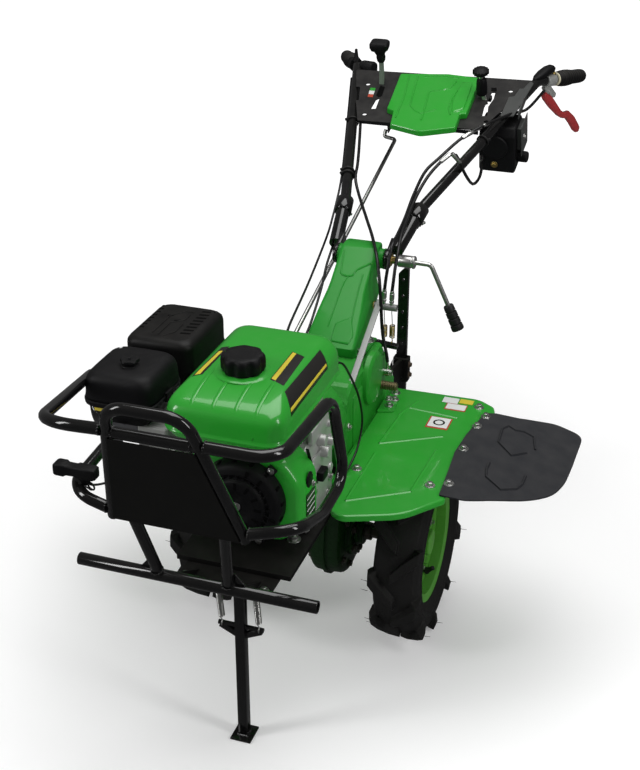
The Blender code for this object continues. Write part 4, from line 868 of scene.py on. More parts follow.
heatproof_black = finish("heatproof_black", (0.003, 0.003, 0.0032), 0.42, specular=0.16,
                         drift=0.25, spread=0.2, grain=0.00025, grain_scale=600, wear=0.3,
                         wear_colour=(0.05, 0.046, 0.04), dust=0.04)
# near-black and rough: painted shade, the colour given to slabs and sheets that stand for the shade inside
# openings and recesses
painted_hollow_shade = finish("painted_hollow_shade", (0.002, 0.002, 0.002), 0.9, specular=0.1, wear=0.0,
                     dust=0.0)
dress(heatproof_black, "muffler")
GUARD_X = (-0.308, -0.17)
GUARD_Y = (-0.266, -0.085)
GUARD_TOP = 0.7234
bm = bmesh.new()
moulding(bm, GUARD_X, GUARD_Y, [
    (0.662, 0.0035, 0.018), (0.662, -0.001, 0.022), (0.664, -0.001, 0.022), (0.666, 0.0, 0.022),
    (0.707, 0.0, 0.022), (0.714, 0.001, 0.022), (0.719, 0.0045, 0.022), (0.7225, 0.01, 0.02),
    (0.7243, 0.015, 0.018), (0.7245, 0.018, 0.016), (0.7236, 0.021, 0.014), (GUARD_TOP, 0.03, 0.01),
], 4)
made(bm, "guard_shell", heatproof_black, ["muffler_guard"], crease=40)
# the cooling slots are near-black slabs laid on the guard's top: painted shade where the openings are
bm = bmesh.new()
for k in range(8):
    for x, up, long in ((-0.1975, 0, 0.026), (-0.2925, 0.0006, 0.009)):
        slab(bm, at(x, -0.216 + 0.015 * k, GUARD_TOP + up), (1, 0.12, 0), (0, 1, 0),
             (long, 0.0058, 0.0012), 0.0004)
for x, y in ((-0.262, -0.148), (-0.24, -0.166)):
    slab(bm, at(x, y, GUARD_TOP), (0.9, 0.4, 0), (-0.4, 0.9, 0), (0.012, 0.004, 0.0012), 0.0004)
made(bm, "guard_slot_shade", painted_hollow_shade)
bm = bmesh.new()
for line in ([(-0.262, -0.232), (-0.262, -0.15), (-0.24, -0.122), (-0.222, -0.122)],
             [(-0.248, -0.236), (-0.248, -0.18), (-0.226, -0.16), (-0.226, -0.136)],
             [(-0.236, -0.238), (-0.222, -0.218), (-0.222, -0.18)]):
    tube(bm, [at(x, y, GUARD_TOP + 0.0002) for x, y in line], 0.0013, 8)
made(bm, "guard_relief", heatproof_black)
bm = bmesh.new()
bolts(bm, [at(x, -0.2625, 0.69) for x in (-0.272, -0.205)], (0, -1, 0), 0.008, 0.004)
made(bm, "guard_screws", heatproof_black)

# ---------------------------------------------------------------- fan shroud and recoil starter
# The green steel shroud wraps round the flywheel. The black starter cover on its front has
# cooling slots and louvres, and its T-shaped grip hangs on the bumper by its rope.


def filleted(corners, steps=5):
    """A flat outline's points, its corners rounded to the radius that each gives."""
    points = []
    for i, (x, y, radius) in enumerate(corners):
        corner = Vector((x, y))
        before = Vector(corners[i - 1][:2]) - corner
        after = Vector(corners[(i + 1) % len(corners)][:2]) - corner
        half = before.angle(after) / 2
        reach = min(radius / max(0.05, abs(tan(half))), before.length * 0.49, after.length * 0.49)
        start, end = corner + before.normalized() * reach, corner + after.normalized() * reach
        for k in range(steps + 1):
            t = k / steps
            points.append(start * (1 - t) ** 2 + corner * 2 * t * (1 - t) + end * t**2)
    return points


shroud_corners = [
    (-0.112, 0.078, 0.03), (-0.075, 0.038, 0.03), (0.072, 0.038, 0.03), (0.112, 0.07, 0.03),
    (0.112, 0.165, 0.05), (0.078, 0.212, 0.05), (-0.08, 0.212, 0.04), (-0.112, 0.18, 0.04),
]
SHROUD_FOOT = 0.4
centre = Vector((0, 0.125))
bm = bmesh.new()
rings = []
for y, shrink in ((-0.3553, 0.985), (-0.356, 1.0), (-0.398, 1.0), (-0.413, 0.985), (-0.423, 0.955),
                  (-0.4285, 0.915), (-0.4297, 0.87)):
    outline = [centre + (point - centre) * shrink for point in filleted(shroud_corners)]
    rings.append([at(point.x, y, SHROUD_FOOT + point.y) for point in outline])
shell(bm, rings)
made(bm, "shroud_shell", green_enamel, ["fan_shroud"], crease=50)

low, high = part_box("recoil_cover")
hub = Vector(((low.x + high.x) / 2, high.y, (low.z + high.z) / 2))
EARS = spaced(3, 50)


def spoke(angle):
    """The way out from the starter's hub."""
    return Vector((cos(angle), 0, sin(angle)))


def round_hub(angle, radius, ahead):
    """A place on the starter cover, ahead of the shroud."""
    return hub + spoke(angle) * radius - Vector((0, ahead, 0))


bm = bmesh.new()
cover = [(0, 0), (0, 0.0815), (0.004, 0.082), (0.02, 0.08), (0.027, 0.077), (0.031, 0.0715),
         (0.033, 0.062), (0.03, 0.059), (0.03, 0.0545), (0.0365, 0.052), (0.0392, 0.048),
         (0.0398, 0.03), (0.0375, 0.027), (0.037, 0)]
spun(bm, cover, hub, (0, -1, 0), 56)
for angle in spaced(28):
    slab(bm, round_hub(angle, 0.0568, 0.0305), spoke(angle), (0, 1, 0), (0.0075, 0.006, 0.0022))
for angle in EARS:
    slab(bm, round_hub(angle, 0.084, 0.005), spoke(angle), (0, 1, 0), (0.02, 0.009, 0.018), 0.001)
made(bm, "starter_cover", textured_plastic, ["recoil_cover"], crease=40)
# the cover's slots and louvres are near-black slabs on it: painted shade where the openings are
bm = bmesh.new()
for k in range(16):
    angle = 2 * pi * k / 16 + 0.1
    across = spoke(angle + pi / 2)
    if k % 4 > 1:
        slab(bm, round_hub(angle, 0.069, 0.0322), spoke(angle), across, (0.013, 0.0052, 0.0016), 0.0004)
    slab(bm, round_hub(angle, 0.0808, 0.014), (0, 1, 0), across, (0.013, 0.006, 0.0016), 0.0004)
for angle in spaced(12):
    slab(bm, round_hub(angle, 0.042, 0.0396), spoke(angle), spoke(angle + pi / 2),
         (0.014, 0.005, 0.001), 0.0004)
made(bm, "starter_slot_shade", painted_hollow_shade, slot="black_plastic")
bm = bmesh.new()
bolts(bm, [round_hub(angle, 0.088, 0.0095) for angle in EARS], (0, -1, 0), 0.007, 0.003)
bolt(bm, round_hub(0, 0, 0.037), (0, -1, 0), 0.009, 0.004)
made(bm, "starter_screws", zinc_steel)

# on the shroud's left side are a plug, a blank label with pale lines, and its screws
SHROUD_SIDE = 0.1118
bm = bmesh.new()
spun(bm, [(-0.001, 0), (-0.001, 0.015), (0.001, 0.015), (0.002, 0.0135), (0.002, 0)],
     at(0.1112, -0.39, 0.56), (1, 0, 0), 28)
made(bm, "shroud_plug", textured_plastic)


def upright_corners(x, y, z, wide, tall):
    """A rectangle's corners on a panel that faces sideways, from its low front corner."""
    return [at(x, y, z), at(x, y + wide, z), at(x, y + wide, z + tall), at(x, y, z + tall)]


label("shroud_label", upright_corners(SHROUD_SIDE, -0.408, 0.47, 0.046, 0.066), black_vinyl, 0.0005)
bm = bmesh.new()
for k in range(5):
    sheet(bm, upright_corners(SHROUD_SIDE + 0.0006, -0.405, 0.476 + 0.012 * k, 0.04, 0.0022), 0.0002)
made(bm, "shroud_label_lines", white_vinyl)
bm = bmesh.new()
bolts(bm, [at(*place) for place in ((0.1115, -0.372, 0.542), (0.1115, -0.398, 0.483), (0.095, -0.364, 0.46),
                                    (0.095, -0.37, 0.448))], (1, 0, 0), 0.008, 0.004)
made(bm, "shroud_screws", zinc_steel)

# ---------------------------------------------------------------- crankcase and cylinder
# Die-cast alloy, with bolt bosses on the crankcase's side cover, cooling fins round the cylinder
# and a rocker cover at its end. A black strap, a switch and a cap are fixed on them.

cast_alloy = finish("cast_alloy", (0.46, 0.47, 0.45), 0.42, metallic=0.55, drift=0.2,
                    drift_scale=20, spread=0.2, grain=0.0005, grain_scale=420, wear=0.3,
                    wear_colour=(0.7, 0.7, 0.69), dust=0.12)
dress(cast_alloy, "crankcase", "cylinder", "carburettor")
CYLINDER_Y, CYLINDER_Z = -0.285, 0.56
CASE_SIDE = 0.0945  # the crankcase's left face
bm = bmesh.new()
for y, z, radius, reach in ((-0.294, 0.588, 0.012, 0.016), (-0.283, 0.558, 0.012, 0.018),
                            (-0.268, 0.574, 0.009, 0.022), (-0.25, 0.6, 0.008, 0.01),
                            (-0.24, 0.5, 0.01, 0.008), (-0.33, 0.47, 0.01, 0.008),
                            (-0.25, 0.44, 0.01, 0.008), (-0.345, 0.56, 0.008, 0.01)):
    spun(bm, [(-0.002, 0), (-0.002, radius), (reach - 0.002, radius * 0.92), (reach, radius * 0.8),
              (reach, 0)], at(CASE_SIDE, y, z), (1, 0, 0), 20)
block(bm, at(CASE_SIDE + 0.002, CYLINDER_Y, 0.5), (0.004, 0.12, 0.13), 0.0015)
block(bm, at(CASE_SIDE + 0.0005, CYLINDER_Y, 0.612), (0.01, 0.11, 0.03), 0.003)
made(bm, "case_bosses", cast_alloy)
bm = bmesh.new()
for k in range(9):
    block(bm, at(-0.118 - 0.0095 * k, CYLINDER_Y, CYLINDER_Z), (0.0026, 0.146, 0.128), 0.0008)
block(bm, at(-0.214, CYLINDER_Y, CYLINDER_Z), (0.016, 0.1, 0.094), 0.006)
made(bm, "cylinder_fins", cast_alloy)
bm = bmesh.new()
bolts(bm, [at(CASE_SIDE + 0.004, y, z) for y, z in ((-0.24, 0.48), (-0.335, 0.5), (-0.25, 0.45))], (1, 0, 0),
      0.01, 0.006)
bolts(bm, [at(-0.222, y, z) for y in (-0.325, -0.245) for z in (0.525, 0.595)], (-1, 0, 0), 0.01, 0.006)
made(bm, "case_bolts", zinc_steel)
bm = bmesh.new()
slab(bm, at(0.1, -0.345, 0.56), (0, 0.45, -0.9), (1, 0, 0), (0.11, 0.006, 0.003), 0.001)
block(bm, at(0.104, -0.3, 0.52), (0.016, 0.03, 0.02), 0.003)
spun(bm, [(0, 0), (0, 0.013), (0.022, 0.013), (0.026, 0.01), (0.026, 0)], at(-0.196, -0.352, 0.59),
     (0, -0.4, 1), 18)
made(bm, "switch_and_strap", textured_plastic)

# ---------------------------------------------------------------- gear train and axle
# Cast iron cases in green enamel: the gearbox behind the engine and the drive case below it, which carries
# the axle between its round necks. The drive case low down is given a much darker green: painted shade from
# the fenders over it, with brown oily dirt as its dust.

# the drive case's colour: a dark green that paints the fenders' shade into it; its dust is brown oily dirt
oily_green_painted_shade = finish("oily_green_painted_shade", (0.005, 0.026, 0.005), 0.45, specular=0.2,
                    coat_roughness=0.12, drift=0.5, drift_scale=14, spread=0.3, grain=0.001,
                    grain_scale=140, wear=0.2, wear_colour=(0.05, 0.22, 0.05), dust=0.08,
                    dust_colour=(0.08, 0.075, 0.05))
cast_green = finish("cast_green", (0.014, 0.262, 0.018), 0.34, specular=0.22, coat=0.2,
                    coat_roughness=0.1, drift=0.15, drift_scale=9, spread=0.15, grain=0.0008,
                    grain_scale=150, wear=0.12, wear_colour=(0.08, 0.42, 0.08), dust=0.08)
dress(cast_green, "gearbox_case")
DRIVE_R = 0.101
drive_faces = ((0.072, 1), (0.002, -1))  # how far across each side of the drive case stands
bm = bmesh.new()
drive = [(-0.075, 0.3865)]
drive += [(DRIVE_R * cos(radians(a)), TYRE_R + DRIVE_R * sin(radians(a))) for a in range(-195, 16, 15)]
drive += [(0.09, 0.3865)]
rings = []
# across, drawn in: the two halves meet on a flange that stands proud
for x, inset in ((0.002, 0.018), (0.004, 0.01), (0.0085, 0.004), (0.015, 0.001), (0.031, 0.0),
                 (0.0318, -0.0045), (0.0398, -0.0045), (0.0406, 0.001), (0.06, 0.002),
                 (0.067, 0.0045), (0.0705, 0.009), (0.072, 0.016)):
    shrink = 1 - inset / DRIVE_R
    rings.append([at(x, y * shrink, TYRE_R + (z - TYRE_R) * (shrink if z < 0.3 else 1)) for y, z in drive])
shell(bm, rings)
for face, side in drive_faces:
    spun(bm, [(-0.004, 0), (-0.004, 0.056), (0.01, 0.056), (0.012, 0.054), (0.012, 0.031),
              (0.028, 0.029), (0.0285, 0)], at(face, 0, TYRE_R), (side, 0, 0), 48)
made(bm, "drive_case", oily_green_painted_shade, ["final_drive"], crease=30)

bm = bmesh.new()
for face, side in drive_faces:
    bolts(bm, [at(face + side * 0.012, 0.0445 * cos(angle), TYRE_R + 0.0445 * sin(angle))
               for angle in spaced(6, 30)], (side, 0, 0), 0.012, 0.007)
    rim = [(0.078 * cos(radians(a)), TYRE_R + 0.078 * sin(radians(a))) for a in range(-150, -29, 40)]
    rim += [(y, z) for y in (-0.05, 0.064) for z in (0.25, 0.31)]
    bolts(bm, [at(face - side * 0.0005, y, z) for y, z in rim], (side, 0, 0), 0.011, 0.006)
made(bm, "drive_bolts", oily_steel_painted_shade)
bm = bmesh.new()
for face, side in drive_faces:
    for radius, reach in ((0.031, 0.0285), (0.034, 0.018)):
        spun(bm, [(0.012, radius - 0.006), (0.012, radius), (reach - 0.002, radius),
                  (reach, radius - 0.002), (reach, radius - 0.006)], at(face, 0, TYRE_R), (side, 0, 0), 32)
made(bm, "drive_seals", oily_green_painted_shade)

gearbox_faces = ((0.085, 1), (-0.065, -1))
bm = bmesh.new()
for x, side in gearbox_faces:
    bolts(bm, [at(x, y, z) for y, z in ((-0.085, 0.4), (-0.02, 0.4), (0.06, 0.4), (0.15, 0.4),
                                        (0.232, 0.4), (0.02, 0.57), (-0.08, 0.5))],
          (side, 0, 0), 0.009, 0.005)
bolts(bm, [at(0.076 * cos(angle), -0.211, 0.526 + 0.076 * sin(angle)) for angle in spaced(6, 20)],
      (0, 1, 0), 0.011, 0.006)
made(bm, "gearbox_bolts", zinc_steel)
bm = bmesh.new()
for x, side in gearbox_faces:
    block(bm, at(x - side * 0.001, 0.06, 0.494), (0.006, 0.23, 0.12), 0.0025)
    spun(bm, [(0, 0), (0, 0.058), (0.01, 0.0565), (0.014, 0.051), (0.015, 0.044), (0.015, 0)],
         at(x - side * 0.001, 0.06, 0.545), (side, 0, 0), 56)
    spun(bm, [(0, 0), (0, 0.026), (0.007, 0.024), (0.009, 0.021), (0.009, 0)], at(x, 0.175, 0.45),
         (side, 0, 0), 32)
block(bm, at(0.01, 0.01, 0.38), (0.15, 0.2, 0.01), 0.003)
made(bm, "gearbox_covers", cast_green)
bm = bmesh.new()
spun(bm, [(0, 0), (0, 0.012), (0.006, 0.012), (0.007, 0.009), (0.013, 0.009), (0.014, 0)],
     at(0.055, 0.2, 0.515), (0, 0.8, 0.6), 20)
spun(bm, [(0, 0), (0, 0.01), (0.012, 0.01), (0.013, 0.008), (0.013, 0)], at(0.026, 0, 0.104),
     (0, 0, -1), 18)
made(bm, "oil_plugs", dark_rubber, slot="black_plastic")
bm = bmesh.new()
for side in (1, -1):
    for x in (0.105, 0.152):
        sleeve(bm, at(side * x, 0, TYRE_R), (side, 0, 0), 0.01, 0.0135, 0.019, 28)
made(bm, "axle_collars", oily_steel_painted_shade, body="wheels")

# ---------------------------------------------------------------- starter grip
# A moulded black T-grip on a nylon rope. It parks against a wire guide ring that is welded to the
# side rail.


def lofted(bm, stations, up, steps=20, squareness=0.6):
    """A solid through stations of (place, half width, half height). Its section is a rounded box,
    squarer the lower the last value."""
    up = Vector(up)
    rings = []
    for i, (place, wide, high) in enumerate(stations):
        ahead = (stations[min(i + 1, len(stations) - 1)][0] - stations[max(i - 1, 0)][0]).normalized()
        across = ahead.cross(up).normalized()
        over = across.cross(ahead)
        ring = []
        for angle in spaced(steps):
            side_share, up_share = cos(angle), sin(angle)
            ring.append(place + across * wide * copysign(abs(side_share) ** squareness, side_share)
                        + over * high * copysign(abs(up_share) ** squareness, up_share))
        rings.append(ring)
    shell(bm, rings)


def smooth_curve(points, step):
    """A smooth line through the points, with a point at about every step."""
    padded = [2 * points[0] - points[1], *points, 2 * points[-1] - points[-2]]
    line = [points[0]]
    for a, b, c, d in zip(padded, padded[1:], padded[2:], padded[3:]):
        count = max(1, round((c - b).length / step))
        for k in range(1, count + 1):
            t = k / count
            bent = (2 * a - 5 * b + 4 * c - d) * t**2 + (3 * b - a - 3 * c + d) * t**3
            line.append(b + ((c - a) * t + bent) / 2)
    return line


def cord(bm, points, step, radius, sides=10):
    """A smooth cord through points given from the axle."""
    tube(bm, smooth_curve([at(*point) for point in points], step), radius, sides)


bm = bmesh.new()
# across, half width, half height
grip_line = [
    (-0.2215, 0.0085, 0.007), (-0.2205, 0.011, 0.0095), (-0.217, 0.012, 0.011),
    (-0.203, 0.012, 0.0112), (-0.199, 0.01, 0.009), (-0.184, 0.0096, 0.0088),
    (-0.18, 0.0112, 0.0105), (-0.152, 0.0112, 0.0105), (-0.147, 0.0098, 0.009),
    (-0.146, 0.007, 0.006),
]
lofted(bm, [(at(x, -0.688, 0.6895), wide, high) for x, wide, high in grip_line], (0, 0, 1), 24, 0.3)
lofted(bm, [(at(-0.176, -0.688, 0.686), 0.0085, 0.0105), (at(-0.172, -0.686, 0.676), 0.0075, 0.009),
            (at(-0.169, -0.684, 0.6665), 0.006, 0.007), (at(-0.168, -0.683, 0.6635), 0.004, 0.005)],
       (1, 0, 0), 20, 0.7)
made(bm, "starter_grip", textured_plastic, ["recoil_grip"], crease=50)
bm = bmesh.new()
guide = at(-0.164, -0.679, 0.658)
turn = Matrix.Translation(guide) @ towards((0.35, 1, 0.2))
loop = [turn @ Vector((0.0075 * cos(angle), 0.0075 * sin(angle), 0)) for angle in spaced(28)]
tube(bm, loop + loop[:2], 0.0016, 10)
cord(bm, [(-0.164, -0.678, 0.65), (-0.17, -0.672, 0.646), (-0.182, -0.668, 0.648),
          (-0.1945, -0.672, 0.655)], 0.004, 0.0015)
made(bm, "rope_guide", black_enamel)
bm = bmesh.new()
cord(bm, [(-0.168, -0.682, 0.664), (-0.16, -0.67, 0.656), (-0.14, -0.62, 0.64),
          (-0.105, -0.545, 0.61), (-0.06, -0.478, 0.575)], 0.006, 0.002)
made(bm, "starter_rope", dark_rubber)

# ---------------------------------------------------------------- carburettor
# A die-cast body with a pressed bowl under it and two studs, and the throttle's rod and plate.

bm = bmesh.new()
spun(bm, [(0, 0), (0, 0.019), (0.003, 0.02), (0.022, 0.019), (0.028, 0.015), (0.03, 0)],
     at(-0.178, -0.385, 0.529), (0, 0, -1), 28)
peg(bm, at(-0.178, -0.385, 0.531), (0, 0, -1), 0.004, 0.0205, 28)
bolts(bm, [at(-0.149, y, 0.58) for y in (-0.412, -0.358)], (1, 0, 0), 0.01, 0.008, stub=0.006)
made(bm, "carburettor_bowl", cast_alloy)
bm = bmesh.new()
cord(bm, [(-0.195, -0.4215, 0.6), (-0.165, -0.428, 0.612), (-0.14, -0.432, 0.618),
          (-0.12, -0.432, 0.62)], 0.006, 0.0012, 8)
slab(bm, at(-0.19, -0.4225, 0.596), (1, 0, 0.4), (0, 1, 0), (0.03, 0.002, 0.01), 0.0006)
bolts(bm, [at(-0.166, y, 0.57) for y in (-0.25, -0.2)], (1, 0, 0), 0.012, 0.007, stub=0.005)
made(bm, "throttle_linkage", zinc_steel)

# ---------------------------------------------------------------- parking stand
# A square steel tube with a flat foot welded on. It folds up on a pin, and two close-wound
# springs snap it past the middle.

STAND_Y = -0.461
POST = 0.02
HOOK_Z = 0.26
spring_anchor, spring_eye = at(0, -0.481, 0.38), at(0, STAND_Y, HOOK_Z)
stand_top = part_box("stand_post")[1].z

bm = bmesh.new()
block(bm, at(0, STAND_Y, (stand_top + 0.003) / 2), (POST, POST, stand_top - 0.003), 0.0022)
block(bm, at(0, STAND_Y, 0.002), (0.042, 0.048, 0.004), 0.0008)
tube(bm, [at(-0.045, STAND_Y, HOOK_Z), at(0.045, STAND_Y, HOOK_Z)], 0.0048, 16)
for side in (1, -1):
    slab(bm, at(side * 0.025, STAND_Y, 0.25), (side * 0.035, 0, 0.017), (0, 1, 0),
         (0.036, 0.01, 0.012), 0.0012)
for angle in spaced(22):
    reach = POST / 2 / max(abs(cos(angle)), abs(sin(angle)))
    bead(bm, at(reach * cos(angle), STAND_Y + reach * sin(angle), 0.0045), 0.0024)
made(bm, "stand_tube", black_enamel, ["stand_post"], "stand", crease=40)

bm = bmesh.new()
for side in (1, -1):
    block(bm, at(side * 0.0155, STAND_Y - 0.007, 0.373), (0.004, 0.046, 0.056), 0.001)
made(bm, "stand_cheeks", black_enamel, ["stand_bracket"])
bm = bmesh.new()
tube(bm, [at(-0.0225, STAND_Y, 0.36), at(0.0225, STAND_Y, 0.36)], 0.0055, 16)
tube(bm, [at(-0.045, -0.481, 0.38), at(0.045, -0.481, 0.38)], 0.004, 16)
for side in (1, -1):
    bolt(bm, at(side * 0.018, STAND_Y, 0.36), (side, 0, 0), 0.014, 0.006, stub=0.003)
    bolt(bm, at(side * 0.04, -0.481, 0.38), (side, 0, 0), 0.009, 0.003)
made(bm, "stand_pins", zinc_steel)

ahead = (spring_eye - spring_anchor).normalized()
across = Vector((1, 0, 0))
fore = ahead.cross(across)
EYE_R, COIL_R, TURNS = 0.0058, 0.0052, 36
coil_start, coil_end = 0.016, (spring_eye - spring_anchor).length - 0.018
for side_name, side in SIDES:
    top, foot = spring_anchor + across * side * 0.037, spring_eye + across * side * 0.037
    # the top eye, the close-wound coil and the bottom hook in one run of wire
    route = []
    for k in range(15):
        angle = -pi / 2 + 2 * pi * 0.9 * k / 14
        route.append(top - (fore * cos(angle) + ahead * sin(angle)) * EYE_R)
    for k in range(TURNS * 10 + 1):
        share = k / (TURNS * 10)
        angle = 2 * pi * TURNS * share
        along = coil_start + (coil_end - coil_start) * share
        route.append(top + ahead * along + (across * sin(angle) + fore * cos(angle)) * COIL_R)
    for k in range(13):
        angle = pi / 2 - 2 * pi * 0.75 * k / 12
        route.append(foot + (fore * cos(angle) - ahead * sin(angle)) * EYE_R)
    bm = bmesh.new()
    tube(bm, route, 0.00118, 8)
    made(bm, f"spring_coil_{side_name}", zinc_steel, [f"stand_spring_{side_name}"], "stand_springs",
         crease=0)

# ---------------------------------------------------------------- fenders and flaps
# Pressed green fenders with embossed creases, bolted to a bar across the gearbox, and thick
# moulded rubber flaps bolted on their outer edges. The stickers are blank.

flap_rubber = finish("flap_rubber", (0.0185, 0.0195, 0.0235), 0.6, specular=0.18,
                     drift_scale=12, grain=0.0003, grain_scale=800, wear=0.2,
                     wear_colour=(0.06, 0.06, 0.06))
dress(satin_black, "fender_bracket_left", "fender_bracket_right")
FENDER_TOP = 0.445
FLAP_T = 0.0028
# the flap falls away outwards: across, height of its underside
flap_fall = ((0.294, 0.4455), (0.334, 0.4455), (0.39, 0.4332), (0.445, 0.4162), (0.49, 0.4052),
             (0.513, 0.4002))


def flap_height(x):
    """The height of the flap's underside."""
    for (x0, z0), (x1, z1) in zip(flap_fall, flap_fall[1:]):
        if x <= x1:
            return z0 + (z1 - z0) * max(0.0, x - x0) / (x1 - x0)
    return flap_fall[-1][1]


def along_at(points, i):
    """Which way a line of points runs at one of them."""
    return (points[min(i + 1, len(points) - 1)] - points[max(i - 1, 0)]).normalized()


def ridge(bm, points, width, height):
    """An embossed crease: a low roof-shaped bead along a line."""
    up = Vector((0, 0, height))
    rings = []
    for i, point in enumerate(points):
        ahead = along_at(points, i)
        across = Vector((-ahead.y, ahead.x, 0)) * width
        rings.append([point - across - up * 0.6, point - across * 0.3 + up, point + across * 0.3 + up,
                      point + across - up * 0.6])
    shell(bm, rings)


def drawn_in(plan, middle, inset):
    """A flat outline drawn in all round by the same amount."""
    moved = []
    for i, point in enumerate(plan):
        along = (plan[(i + 1) % len(plan)] - plan[i - 1]).normalized()
        inwards = Vector((along.y, -along.x))
        if inwards.dot(middle - point) < 0:
            inwards.negate()
        moved.append(point + inwards * inset)
    return moved


flap_corners = [
    (0.301, -0.188, 0.004), (0.342, -0.191, 0.05), (0.378, -0.166, 0.3), (0.43, -0.123, 0.3),
    (0.466, -0.092, 0.3), (0.498, -0.05, 0.25), (0.512, 0.006, 0.3), (0.5145, 0.085, 0.3),
    (0.515, 0.214, 0.03), (0.452, 0.221, 0.05), (0.383, 0.183, 0.04), (0.311, 0.163, 0.006),
    (0.295, 0.06, 0.06), (0.29, -0.02, 0.06), (0.296, -0.1, 0.06),
]
fender_corners = [
    (0.0858, 0.223, 0.004), (0.285, 0.228, 0.05), (0.322, 0.203, 0.02), (0.334, 0.165, 0.03),
    (0.306, 0.14, 0.02), (0.302, -0.172, 0.02), (0.318, -0.19, 0.02), (0.252, -0.275, 0.11),
    (0.145, -0.318, 0.05), (0.119, -0.3, 0.02), (0.113, -0.216, 0.01), (0.0858, -0.205, 0.006),
]
# height, drawn in: up the inside of the rolled edge, round it and over the top
rolled_edge = (
    (0.4427, 0.004), (0.434, 0.0026), (0.4328, 0.0022), (0.4327, 0.0004), (0.4335, 0.0),
    (0.44, 0.0), (0.443, 0.001), (0.4445, 0.0028), (FENDER_TOP, 0.005), (FENDER_TOP, 0.0062),
)
creases = [
    [(0.138, -0.262), (0.138, -0.071)], [(0.138, -0.262), (0.246, -0.19)], [(0.246, -0.19), (0.252, -0.02)],
    [(0.135, -0.03), (0.141, 0.11), (0.16, 0.176)], [(0.135, -0.03), (0.25, 0.04)],
    [(0.152, 0.14), (0.26, 0.128)],
]
flap_creases = [
    [(0.368, 0.136), (0.385, 0.128), (0.402, 0.136), (0.424, 0.132), (0.426, 0.119), (0.435, 0.087)],
    [(0.368, 0.136), (0.359, 0.116), (0.363, 0.059), (0.397, 0.027), (0.422, 0.062)],
    [(0.364, -0.028), (0.364, -0.053), (0.369, -0.082), (0.404, -0.106), (0.43, -0.08), (0.437, -0.056),
     (0.437, -0.021)],
]
fender_middle = Vector((0.205, -0.03))
for side_name, side in SIDES:
    bm = bmesh.new()
    plan = filleted(fender_corners, 6)
    shell(bm, [[at(side * p.x, p.y, z) for p in drawn_in(plan, fender_middle, inset)]
               for z, inset in rolled_edge])
    made(bm, f"fender_sheet_{side_name}", green_enamel, [f"fender_{side_name}"], crease=28)
    bm = bmesh.new()
    for line in creases:
        ridge(bm, [at(side * x, y, FENDER_TOP) for x, y in line], 0.0042, 0.0016)
    made(bm, f"fender_creases_{side_name}", green_enamel, crease=60)

    bm = bmesh.new()
    bm.faces.new([bm.verts.new((side * p.x, axle_y + p.y, 0)) for p in filleted(flap_corners, 8)])
    for k in range(1, 22):
        bmesh.ops.bisect_plane(bm, geom=bm.verts[:] + bm.edges[:] + bm.faces[:], dist=1e-6,
                               plane_co=(side * (0.294 + 0.01 * k), 0, 0), plane_no=(1, 0, 0))
    for vert in bm.verts:
        vert.co.z = flap_height(abs(vert.co.x))
    drawn_out(bm, bm.faces[:], (0, 0, FLAP_T))
    made(bm, f"flap_{side_name}", flap_rubber, [f"fender_flap_{side_name}"])
    bm = bmesh.new()
    for line in flap_creases:
        points = []
        for (x0, y0), (x1, y1) in zip(line, line[1:]):
            points += [(x0 + (x1 - x0) * k / 3, y0 + (y1 - y0) * k / 3) for k in range(3)]
        points.append(line[-1])
        ridge(bm, [at(side * x, y, flap_height(x) + FLAP_T + 0.0004) for x, y in points], 0.003, 0.003)
    made(bm, f"flap_creases_{side_name}", flap_rubber, crease=60)

    bm = bmesh.new()
    bolts(bm, [at(side * x, y, FENDER_TOP) for x, y in (
        (0.122, -0.141), (0.275, -0.156), (0.292, 0.189), (0.106, 0.16), (0.104, 0.196))],
        (0, 0, 1), 0.011, 0.0065)
    bolts(bm, [at(side * x, y, 0.4482) for x, y in (
        (0.316, 0.148), (0.308, 0.1), (0.304, -0.001), (0.309, -0.143))], (0, 0, 1), 0.011, 0.0065)
    made(bm, f"fender_bolts_{side_name}", zinc_steel)

# blank stickers on the left fender: low and high across, low and high back, lift
for name, x0, x1, y0, y1, lift, material in (
    ("sticker_small_white", 0.21, 0.244, 0.188, 0.213, 0.0004, white_vinyl),
    ("sticker_small_yellow", 0.246, 0.276, 0.194, 0.214, 0.0004, yellow_vinyl),
    ("sticker_mid_edge", 0.222, 0.268, 0.158, 0.188, 0.0001, red_vinyl),
    ("sticker_mid", 0.224, 0.266, 0.162, 0.186, 0.0004, white_vinyl),
    ("sticker_large_edge", 0.204, 0.252, 0.068, 0.119, 0.0001, red_vinyl),
    ("sticker_large", 0.207, 0.249, 0.074, 0.117, 0.0004, white_vinyl),
):
    label(name, [at(x, y, FENDER_TOP + lift) for x, y in ((x0, y0), (x1, y0), (x1, y1), (x0, y1))],
          material)
bm = bmesh.new()
sleeve(bm, at(0.228, 0.095, FENDER_TOP), (0, 0, 1), 0.001, 0.0085, 0.0125, 32, 0.0006)
made(bm, "sticker_ring", black_vinyl)

# ---------------------------------------------------------------- handlebar column
# A welded sheet-steel box in green enamel with pressed panels, bolted to the gearbox. Serrated
# discs at its top clamp the handlebar's hinge.

column_green = finish("column_green", (0.012, 0.235, 0.02), 0.34, specular=0.18,
                      coat=0.12, coat_roughness=0.08, wear=0.15, wear_colour=(0.05, 0.35, 0.05), dust=0.05)
